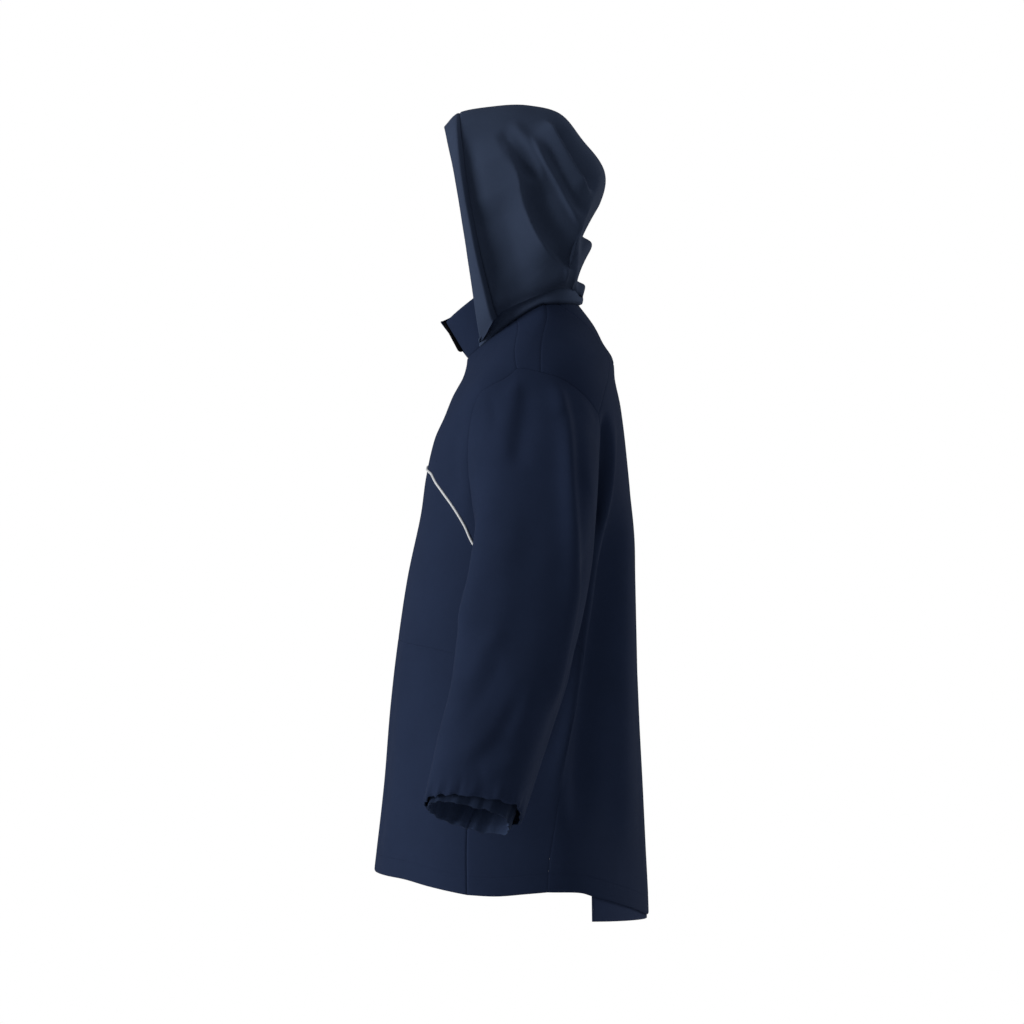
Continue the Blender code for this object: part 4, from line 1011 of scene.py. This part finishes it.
def neck_frame(turn):
    """Points of the neck ring and the level directions that point away from the neck."""
    zero = np.zeros_like(turn)
    along = smooth_body(turn + SMALL_STEP, zero) - smooth_body(turn - SMALL_STEP, zero)
    outward = unit(np.stack((along[..., 1], -along[..., 0], zero), axis=-1))
    return smooth_body(turn, zero), outward


def build_hood_band():
    """A soft roll of cloth between the neck seam and the hood's lower edge."""
    stations = np.linspace(0, HOOD_HOOPS[-1, 0], BAND_COLUMNS)
    turn = read(HOOD_HOOPS, stations)[:, 0]
    neck, outward = neck_frame(turn)
    low = neck + outward * BAND_SET_OUT + np.array((0, 0, BAND_LIFT))
    foot = np.zeros_like(stations)
    full = smoothstep(stations / FACE_CURL_REACH)
    tuck = BAND_TUCK * (BAND_FACE_TUCK + (1 - BAND_FACE_TUCK) * full)
    high = smooth_hood(stations, foot) - hood_facing(stations, foot) * (WALL + tuck)[:, None]
    high[:, 2] += BAND_RISE + NAPE_RISE * smoothstep((stations - NAPE_STATION) / NAPE_REACH)
    hidden = neck - outward * BAND_SEW_IN - np.array((0, 0, BAND_SEW_IN))
    fade = smoothstep(stations / BAND_SWELL_REACH)[:, None]
    halves = []
    for share in np.linspace(1, 0, BAND_ROWS):
        swell = math.sqrt(math.sin(math.pi * share**BAND_LOW)) * BAND_SWELL
        turned = smoothstep((share - BAND_TURN) / (1 - BAND_TURN))
        left = low + (high - low) * np.array((turned, turned, share))
        halves.append(left + outward * swell * fade)
    halves = np.array(halves + [hidden])
    grid = np.concatenate((halves, halves[:, ::-1] * MIRROR), axis=1)
    made = cloth_piece("hood_band_cloth", "hood_band", "hood_cloth", grid,
                       even_grain(grid, BAND_PITCH), WALL)
    # The band wears a lighter copy of the hood's cloth: painted light, for the light that falls on its
    # roll.
    made.data.materials[0] = finished("band_cloth")


COLLAR_HEIGHT = 0.060
COLLAR_LENGTH = 0.50
COLLAR_EDGE_DIP = Dip(0.0009, 0.0012)
COLLAR_STEPS = (3, 20)     # of its grid, up it and round it
COLLAR_FINE_UP = 6
COLLAR_FINE_ROUND = 9
COLLAR_SEW_IN = 0.045      # share of its height that is sewn in below the neck ring
COLLAR_FAR_FORWARD = 0.0085    # the right end of the collar leans this far past the left one
COLLAR_FAR_REACH = 0.25        # turns over which it does so


def collar_points(turn, rise):
    """Outer face of the stand collar, where rise runs from 0 at the neck to 1 at its top."""
    neck, outward = neck_frame(turn)
    lean_out, forward, up = np.moveaxis(read(COLLAR_RISES, 1 - np.abs(1 - turn)), -1, 0)
    foot = neck - outward * COLLAR_SET_IN
    foot[..., 2] += COLLAR_LIFT
    top = outward * lean_out[..., None]
    top[..., 1] -= forward
    top[..., 2] += up
    far = smoothstep((turn - (2 - COLLAR_FAR_REACH)) / COLLAR_FAR_REACH)
    top[..., 1] -= COLLAR_FAR_FORWARD * far
    return foot + top * rise[..., None]


def build_collar():
    """The stand collar, with its foot sewn in."""
    up, around = COLLAR_STEPS
    rises = np.concatenate(((-COLLAR_SEW_IN,), samples(up, COLLAR_FINE_UP, (0, up)) / up))
    turns = samples(around, COLLAR_FINE_ROUND, (0, around)) / around * 2
    rise, turn = np.meshgrid(rises[::-1], turns, indexing="ij")
    grid = collar_points(turn, rise)
    normals = grid_normals(grid, closed=False)
    from_foot = rise * COLLAR_HEIGHT
    lift = dip_at((1 - rise) * COLLAR_HEIGHT, COLLAR_EDGE_DIP) + dip_at(np.abs(from_foot), SEAM_DIP)
    points = (grid + normals * lift[..., None]).reshape(-1, 3)
    part_front(points)
    grain = np.stack((turn * COLLAR_LENGTH / 2, from_foot), axis=-1)
    cloth_piece("collar_cloth", "collar", "collar_cloth", points.reshape(grid.shape), grain,
                COLLAR_WALL)


# ---------------------------------------------------------------- front zip
ZIP_HALF_WIDTH = 0.0090
ZIP_WALL = 0.0012
ZIP_BEHIND = 0.0030
ZIP_HEM_DROP = 0.776
ZIP_PITCH = (0.0024, 0.0030)
ZIP_COLUMNS = 7
COLLAR_POINTS = 40         # of the line down the front edges, on the collar and below it
FRONT_POINTS = 320
TOOTH_PITCH = 0.0024
TEETH_MARGIN = 0.004       # from each end of the zip to its first tooth
TOOTH_ASIDE = 0.45         # how far to its own hand each tooth sits, as a share of its half-width
TOOTH_SUNK = 0.0038         # middle of the teeth behind the outer face of the front edges
TOOTH = (0.0011, 0.0012, 0.0007)     # half sizes across, outward and along the zip
GUARD_LOW, GUARD_HIGH = 0.0070, 0.0042   # how far the zip stands out of the collar's front edge
GUARD_LEAST = 0.0004
GUARD_HALF = 0.0012
GUARD_ROWS = 60
# outward and across, as shares of how far it stands out and of its half-width
GUARD_SECTION = np.array(((-0.3, 0.9), (0.75, 1.0), (0.95, 0.7), (1.0, 0.0), (0.95, -0.7),
                          (0.75, -1.0), (-0.3, -0.9)))
GUARD_FOOT = 0.20          # share of the collar's height at which it begins
GUARD_ROUND = 0.13         # share of the collar's height over which its lower end is rounded


def centre_front():
    """Points down the closed front from the top of the collar to the hem, and their normals."""
    collar = collar_points(np.zeros(COLLAR_POINTS), np.linspace(1, 0, COLLAR_POINTS))
    drop = np.linspace(0, ZIP_HEM_DROP, FRONT_POINTS)
    front, _ = lifted_body(np.zeros_like(drop), drop)
    line = np.concatenate((collar[:-1], front))
    line[:, 0] = 0.0
    down = unit(np.gradient(line, axis=0))
    return line, unit(np.cross(down, ACROSS))


def boxes(name, centres, axes, halves, finish):
    """Many small boxes in one object; axes are three unit vectors for each box."""
    corners = np.array([(i, j, k) for i in (-1, 1) for j in (-1, 1) for k in (-1, 1)], float)
    offsets = corners * np.array(halves)
    points = centres[:, None] + np.einsum("ck,nkd->ncd", offsets, axes)
    sides = np.array(((0, 1, 3, 2), (4, 6, 7, 5), (0, 4, 5, 1), (2, 3, 7, 6), (0, 2, 6, 4),
                      (1, 5, 7, 3)))
    faces = (np.arange(len(centres))[:, None, None] * 8 + sides).reshape(-1, 4)
    made = make_object(name, points.reshape(-1, 3), faces, finish)
    bevel = made.modifiers.new("round", "BEVEL")
    bevel.width = min(halves) * 0.5
    bevel.segments = 1
    return made


def build_zip():
    """The zip's tape and teeth behind the front edges."""
    line, outward = centre_front()
    offsets = np.linspace(-ZIP_HALF_WIDTH, ZIP_HALF_WIDTH, ZIP_COLUMNS)
    inner = line - outward * (WALL + ZIP_BEHIND)
    grid = inner[:, None] + ACROSS * offsets[None, :, None]
    cloth_piece("front_zip_tape", "front_zip", "zip_tape", grid, even_grain(grid, ZIP_PITCH),
                ZIP_WALL)

    length = lengths(line)
    table = np.column_stack((length, line, outward))
    places = np.arange(TEETH_MARGIN, length[-1] - TEETH_MARGIN, TOOTH_PITCH / 2)
    rows = read(table, places)
    out = unit(rows[:, 3:])
    across = np.broadcast_to(ACROSS, out.shape)
    along = np.cross(across, out)
    hand = np.where(np.arange(len(places)) % 2, 1, -1)[:, None]
    centres = rows[:, :3] + across * TOOTH[0] * TOOTH_ASIDE * hand - out * TOOTH_SUNK
    teeth = boxes("front_zip_teeth", centres, np.stack((across, out, along), axis=1), TOOTH,
                  "zip_tape")
    dress(teeth, None)
    build_zip_guard()


def build_zip_guard():
    """The black end of the zip that stands out between the collar's two front edges."""
    share = np.linspace(0, 1, GUARD_ROWS)
    edge = collar_points(np.zeros(GUARD_ROWS), GUARD_FOOT + (1 - GUARD_FOOT) * share)
    out = np.cross(unit(edge[-1] - edge[0]), ACROSS)
    out = out if out[1] < 0 else -out
    reach = GUARD_LOW + (GUARD_HIGH - GUARD_LOW) * share
    reach *= np.sqrt(1 - (1 - np.clip(share / GUARD_ROUND, 0, 1))**2)
    outward = np.maximum(reach, GUARD_LEAST)[:, None, None] * GUARD_SECTION[None, :, :1]
    grid = edge[:, None] + out * outward + ACROSS * GUARD_SECTION[None, :, 1:] * GUARD_HALF
    guard = make_object("front_zip_guard", grid.reshape(-1, 3),
                        grid_faces(*grid.shape[:2], 0, closed=True), "zip_tape")
    dress(guard, None)


# ---------------------------------------------------------------- piping
PIPING_RADIUS = 0.0017
PIPING_PROUD = 0.0008
PIPING_SIDES = 14
PIPING_POINTS = 200


def tube(name, path, radius, sides, finish):
    """A round cord along a path, with round ends."""
    ahead = unit(np.gradient(path, axis=0))
    across = [np.cross(ahead[0], (0.0, 0.0, 1.0))]
    for direction in ahead[1:]:
        across.append(across[-1] - direction * (across[-1] @ direction))
    across = unit(np.array(across))
    upright = np.cross(ahead, across)
    ends = np.array((0.0, 0.7, 0.95) + (1.0,) * (len(path) - 6) + (0.95, 0.7, 0.0))
    angle = np.linspace(0, math.tau, sides, endpoint=False)
    ring = (across[:, None] * np.cos(angle)[None, :, None]
            + upright[:, None] * np.sin(angle)[None, :, None])
    points = path[:, None] + ring * (radius * ends)[:, None, None]
    return make_object(name, points.reshape(-1, 3),
                       grid_faces(len(path), sides, 0, closed=True)[:, ::-1], finish)


def build_piping():
    """The cord across the chest, on each half."""
    for side in ("left", "right"):
        turn, drop = seam_spots("piping", PIPING_POINTS, side == "right")
        path, _ = lifted_body(turn, drop, PIPING_PROUD)
        part_front(path)
        made = tube(f"chest_piping_{side}_cord", path, PIPING_RADIUS, PIPING_SIDES, "piping_cord")
        dress(made, f"chest_piping_{side}")


# ---------------------------------------------------------------- stitches
STITCH_LENGTH = 0.0032
STITCH_GAP = 0.0010
STITCH_RADIUS = 0.00026
STITCH_SIDES = 6
# along and out, as shares of half its length and of its radius
STITCH_SHAPE = np.array(((-1.0, 0.0), (-0.8, 0.8), (-0.3, 1.0), (0.3, 1.0), (0.8, 0.8), (1.0, 0.0)))
STITCHED_POINTS = 160
# The seam that each stitched line of the body follows, and how far below it the line runs.
STITCHED = (
    ("hem_front", -HEM_DEPTH), ("hem_side", -HEM_DEPTH), ("hem_back", -HEM_DEPTH),
    ("hem_tail", -HEM_DEPTH), ("waist_front", 0.0030), ("waist_back", 0.0030),
)


def stitches(name, lines):
    """Short threads along lines of (points, normals), sunk half into the cloth."""
    angle = np.linspace(0, math.tau, STITCH_SIDES, endpoint=False)
    base = grid_faces(len(STITCH_SHAPE), STITCH_SIDES, 0, closed=True)[:, ::-1]
    along, outward = (STITCH_SHAPE * (STITCH_LENGTH / 2, STITCH_RADIUS)).T[..., None, None]
    each = len(STITCH_SHAPE) * STITCH_SIDES
    points, faces, count = [], [], 0
    for line, normals in lines:
        length = lengths(line)
        table = np.column_stack((length, line, normals))
        places = np.arange(STITCH_LENGTH, length[-1] - STITCH_LENGTH, STITCH_LENGTH + STITCH_GAP)
        centre = read(table, places)
        ahead = unit(read(table, places + STITCH_GAP / 2)[:, :3] - centre[:, :3])
        up = unit(centre[:, 3:])
        across = np.cross(ahead, up)
        ring = (across[:, None] * np.cos(angle)[None, :, None]
                + up[:, None] * np.sin(angle)[None, :, None])
        grid = centre[:, None, None, :3] + ahead[:, None, None] * along + ring[:, None] * outward
        starts = count + np.arange(len(places))[:, None, None] * each
        faces.append((starts + base).reshape(-1, 4))
        points.append(grid.reshape(-1, 3))
        count += len(places) * each
    made = make_object(name, np.concatenate(points), np.concatenate(faces), "jacket_cloth")
    dress(made, None)


def build_stitches():
    """The stitched lines of both halves."""
    for side in ("left", "right"):
        lines = []
        for name, lower in STITCHED:
            turn, drop = seam_spots(name, STITCHED_POINTS, side == "right")
            lines.append(lifted_body(turn, drop + lower, -STITCH_DIP.depth))
        stitches(f"body_stitches_{side}", lines)


# ---------------------------------------------------------------- inner tail
FLAP_BEHIND = 0.0008
FLAP_HEM_SIDE = 0.829
FLAP_HEM_BACK = 0.850
FLAP_ROW = 5               # steps of the back's lowest block at which the tail begins, down and back
FLAP_COLUMN = 2
FLAP_FINE = 10
FLAP_SHARES = (0.1, 0.25, 0.5, 0.7, 0.85, 0.93, 0.97, 1.0)   # its rows below the back's hem


def build_tail_flap():
    """The longer layer that shows below the back's hem."""
    block = BACK_PANEL.blocks[-1]
    steps_across, steps_down = border(block.top)[0], border(block.front)[0]
    across = samples(steps_across, FLAP_FINE, block.across_stops)
    down = samples(steps_down, block.fine_down, block.down_stops)
    upper = spread(block, FLAP_FINE)[np.ix_(down >= FLAP_ROW, across >= FLAP_COLUMN)]
    hem = upper[-1].copy()
    share = (across[across >= FLAP_COLUMN] - FLAP_COLUMN) / (steps_across - FLAP_COLUMN)
    hem[:, 1] = FLAP_HEM_SIDE + (FLAP_HEM_BACK - FLAP_HEM_SIDE) * share
    lower = upper[-1] + (hem - upper[-1]) * np.array(FLAP_SHARES)[:, None, None]
    grid = np.concatenate((upper, lower))
    panel = Panel((), FLAP_FINE, (), (), (), (0.64, 0.17, 0.095))
    # Its finish is a lighter copy of the jacket's cloth: painted light on the layer's inside face.
    body_panel("tail_flap_cloth", "tail_flap", panel, [grid, mirror_spots(grid)], (False, True),
               inward=WALL + FLAP_BEHIND, finish="tail_cloth")


# ---------------------------------------------------------------- materials
TONE_SPREAD = 0.10         # how far the two tones of a cloth are from its colour
GRIT_DARK = 0.92
CLOTH_SPECULAR = 0.05
MIX_FIRST, MIX_SECOND = 6, 7    # places of the two colours among the inputs of a Mix node
MIX_COLOUR = 2                  # place of the mixed colour among its outputs


def new_material(name):
    """A material and its tree of nodes."""
    made = bpy.data.materials.new(name)
    made.use_nodes = True
    return made, made.node_tree


def add(tree, kind, links=(), **values):
    """A shader node with its properties and its inputs set; links are (input, socket)."""
    node = tree.nodes.new(kind)
    for name, value in values.items():
        if hasattr(node, name):
            setattr(node, name, value)
        else:
            node.inputs[name.replace("_", " ")].default_value = value
    for name, socket in links:
        tree.links.new(socket, node.inputs[name])
    return node


def mix_tones(tree, factor, colour, dark, light):
    """Base colour between two tones of a colour."""
    mix = add(tree, "ShaderNodeMix", [("Factor", factor)], data_type="RGBA")
    for place, share in ((MIX_FIRST, dark), (MIX_SECOND, light)):
        mix.inputs[place].default_value = (*[c * share for c in colour], 1)
    tree.links.new(mix.outputs[MIX_COLOUR], tree.nodes["Principled BSDF"].inputs["Base Color"])


def finish_shader(tree, bump, roughness, specular):
    """The last settings that every finish has."""
    shader = tree.nodes["Principled BSDF"]
    tree.links.new(bump.outputs["Normal"], shader.inputs["Normal"])
    shader.inputs["Roughness"].default_value = roughness
    shader.inputs["Specular IOR Level"].default_value = specular


def cloth_material(name, colour, roughness, weave_pitch, nap):
    """Matte cloth: two close tones, a fine weave, a short nap and shallow creases."""
    made, tree = new_material(name)
    place = add(tree, "ShaderNodeTexCoord")
    grain = add(tree, "ShaderNodeAttribute", attribute_name="grain")
    blotch = add(tree, "ShaderNodeTexNoise", [("Vector", place.outputs["Object"])],
                 Scale=14.0, Detail=4.0, Roughness=0.6)
    fibre = add(tree, "ShaderNodeTexNoise", [("Vector", place.outputs["Object"])],
                Scale=900.0, Detail=3.0, Roughness=0.7)
    tone = add(tree, "ShaderNodeMath", [(0, blotch.outputs["Fac"]), (1, fibre.outputs["Fac"])],
               operation="ADD")
    ramp = add(tree, "ShaderNodeMapRange", [("Value", tone.outputs[0])],
               From_Min=0.6, From_Max=1.4)
    mix_tones(tree, ramp.outputs["Result"], colour, 1 - TONE_SPREAD, 1 + TONE_SPREAD)
    split = add(tree, "ShaderNodeSeparateXYZ", [("Vector", grain.outputs["Vector"])])
    waves = []
    for axis in ("X", "Y"):
        turns = add(tree, "ShaderNodeMath", [(0, split.outputs[axis])], operation="MULTIPLY")
        turns.inputs[1].default_value = math.tau / weave_pitch
        waves.append(add(tree, "ShaderNodeMath", [(0, turns.outputs[0])], operation="SINE"))
    weave = add(tree, "ShaderNodeMath", [(0, waves[0].outputs[0]), (1, waves[1].outputs[0])],
                operation="MULTIPLY")
    crease = add(tree, "ShaderNodeTexNoise", [("Vector", place.outputs["Object"])],
                 Scale=45.0, Detail=3.0, Roughness=0.5, Distortion=0.6)
    bump_crease = add(tree, "ShaderNodeBump", [("Height", crease.outputs["Fac"])],
                      Strength=0.35, Distance=0.0006)
    bump_nap = add(tree, "ShaderNodeBump", [("Height", fibre.outputs["Fac"]),
                                            ("Normal", bump_crease.outputs["Normal"])],
                   Strength=nap, Distance=0.0003)
    bump_weave = add(tree, "ShaderNodeBump", [("Height", weave.outputs[0]),
                                              ("Normal", bump_nap.outputs["Normal"])],
                     Strength=0.25, Distance=0.0001)
    finish_shader(tree, bump_weave, roughness, CLOTH_SPECULAR)
    return made


def plain_material(name, colour, roughness, specular):
    """Cord, zip or floor: one tone with a fine grit."""
    made, tree = new_material(name)
    place = add(tree, "ShaderNodeTexCoord")
    grit = add(tree, "ShaderNodeTexNoise", [("Vector", place.outputs["Object"])],
               Scale=700.0, Detail=2.0)
    mix_tones(tree, grit.outputs["Fac"], colour, GRIT_DARK, 1.0)
    bump = add(tree, "ShaderNodeBump", [("Height", grit.outputs["Fac"])],
               Strength=0.3, Distance=0.0002)
    finish_shader(tree, bump, roughness, specular)
    return made


FINISHES = {
    "jacket_cloth": (cloth_material, (0.0185, 0.0290, 0.0640), 0.90, 0.0011, 0.35),
    "hood_cloth": (cloth_material, (0.0410, 0.0580, 0.1020), 0.85, 0.0011, 0.30),
    # band: a lighter copy of the hood's cloth, painted light on the band's roll
    "band_cloth": (cloth_material, (0.0540, 0.0760, 0.1330), 0.85, 0.0011, 0.30),
    "collar_cloth": (cloth_material, (0.0185, 0.0290, 0.0640), 0.90, 0.0011, 0.35),
    # tail: a lighter copy of the jacket's cloth, painted light on the hanging layer's inside face
    "tail_cloth": (cloth_material, (0.0280, 0.0420, 0.0900), 0.90, 0.0011, 0.35),
    "cuff_knit": (cloth_material, (0.0185, 0.0290, 0.0600), 0.90, 0.0016, 0.45),
    # cuff inside: a lighter copy of the cuff's knit, painted light on the inner face of the cuff
    "cuff_inside": (cloth_material, (0.0400, 0.0610, 0.1230), 0.90, 0.0016, 0.45),
    "piping_cord": (plain_material, (0.80, 0.81, 0.82), 0.55, 0.3),
    "zip_tape": (plain_material, (0.002, 0.002, 0.003), 0.65, 0.1),
    "floor": (plain_material, (0.85, 0.85, 0.85), 0.9, 0.1),
}
MADE_FINISHES = {}


def finished(name):
    """The material of a finish, made once and shared by the pieces that have it."""
    if name not in MADE_FINISHES:
        make, *values = FINISHES[name]
        MADE_FINISHES[name] = make(f"{name}_finish", *values)
    return MADE_FINISHES[name]


# ---------------------------------------------------------------- studio
CAMERA_PLACE = (5.0, -0.01885, -0.2639)
CAMERA_LENS = 121.2
CAMERA_SENSOR = 36
FLOOR_Z = -1.35
FLOOR_RADIUS = 2.0
FLOOR_SIDES = 64
GLOW_COLOUR = (0.90, 0.94, 1.0, 1)
GLOW_STRENGTH = 0.20
LAMP_AIM = (0, 0, -0.3)
# name, place, size and power of each lamp, all aimed at the middle of the garment
LAMPS = (
    ("key", (1.55, -4.2, 0.25), 2.2, 134.0),
    ("rim", (-2.6, 3.7, 0.3), 2.2, 44.0),
    ("top", (0.2, -1.6, 3.6), 2.6, 20.0),
    ("crown", (1.0, 2.6, 2.6), 2.0, 16.0),
)


def build_studio():
    """The camera, the lamps, the white backdrop and the floor."""
    camera = bpy.data.objects.new("camera", bpy.data.cameras.new("camera"))
    bpy.context.scene.collection.objects.link(camera)
    camera.location = CAMERA_PLACE
    camera.rotation_euler = (math.pi / 2, 0, math.pi / 2)
    camera.data.lens = CAMERA_LENS
    camera.data.sensor_width = CAMERA_SENSOR
    bpy.context.scene.camera = camera
    bpy.context.scene.view_settings.view_transform = "Standard"

    world = bpy.data.worlds.new("studio")
    bpy.context.scene.world = world
    world.use_nodes = True
    tree = world.node_tree
    glow = tree.nodes["Background"]
    glow.inputs["Color"].default_value = GLOW_COLOUR
    glow.inputs["Strength"].default_value = GLOW_STRENGTH
    backdrop = add(tree, "ShaderNodeBackground", Color=(1.0, 1.0, 1.0, 1), Strength=1.0)
    path = add(tree, "ShaderNodeLightPath")
    shown = add(tree, "ShaderNodeMixShader", [(0, path.outputs["Is Camera Ray"]),
                                              (1, glow.outputs[0]), (2, backdrop.outputs[0])])
    tree.links.new(shown.outputs[0], tree.nodes["World Output"].inputs["Surface"])

    for name, place, size, power in LAMPS:
        light = bpy.data.objects.new(name, bpy.data.lights.new(name, "AREA"))
        bpy.context.scene.collection.objects.link(light)
        light.data.size = size
        light.data.energy = power
        light.location = place
        aim = Vector(LAMP_AIM) - Vector(place)
        light.rotation_euler = aim.to_track_quat("-Z", "Y").to_euler()

    angle = np.linspace(0, math.tau, FLOOR_SIDES, endpoint=False)
    rim = np.column_stack((FLOOR_RADIUS * np.cos(angle), FLOOR_RADIUS * np.sin(angle),
                           np.full(FLOOR_SIDES, FLOOR_Z)))
    floor = make_object("floor", rim, np.arange(FLOOR_SIDES)[None], "floor")


build_body()
build_tail_flap()
build_sleeves()
build_inner_cuffs()
build_hood()
build_hood_band()
build_collar()
build_zip()
build_piping()
build_stitches()
build_studio()
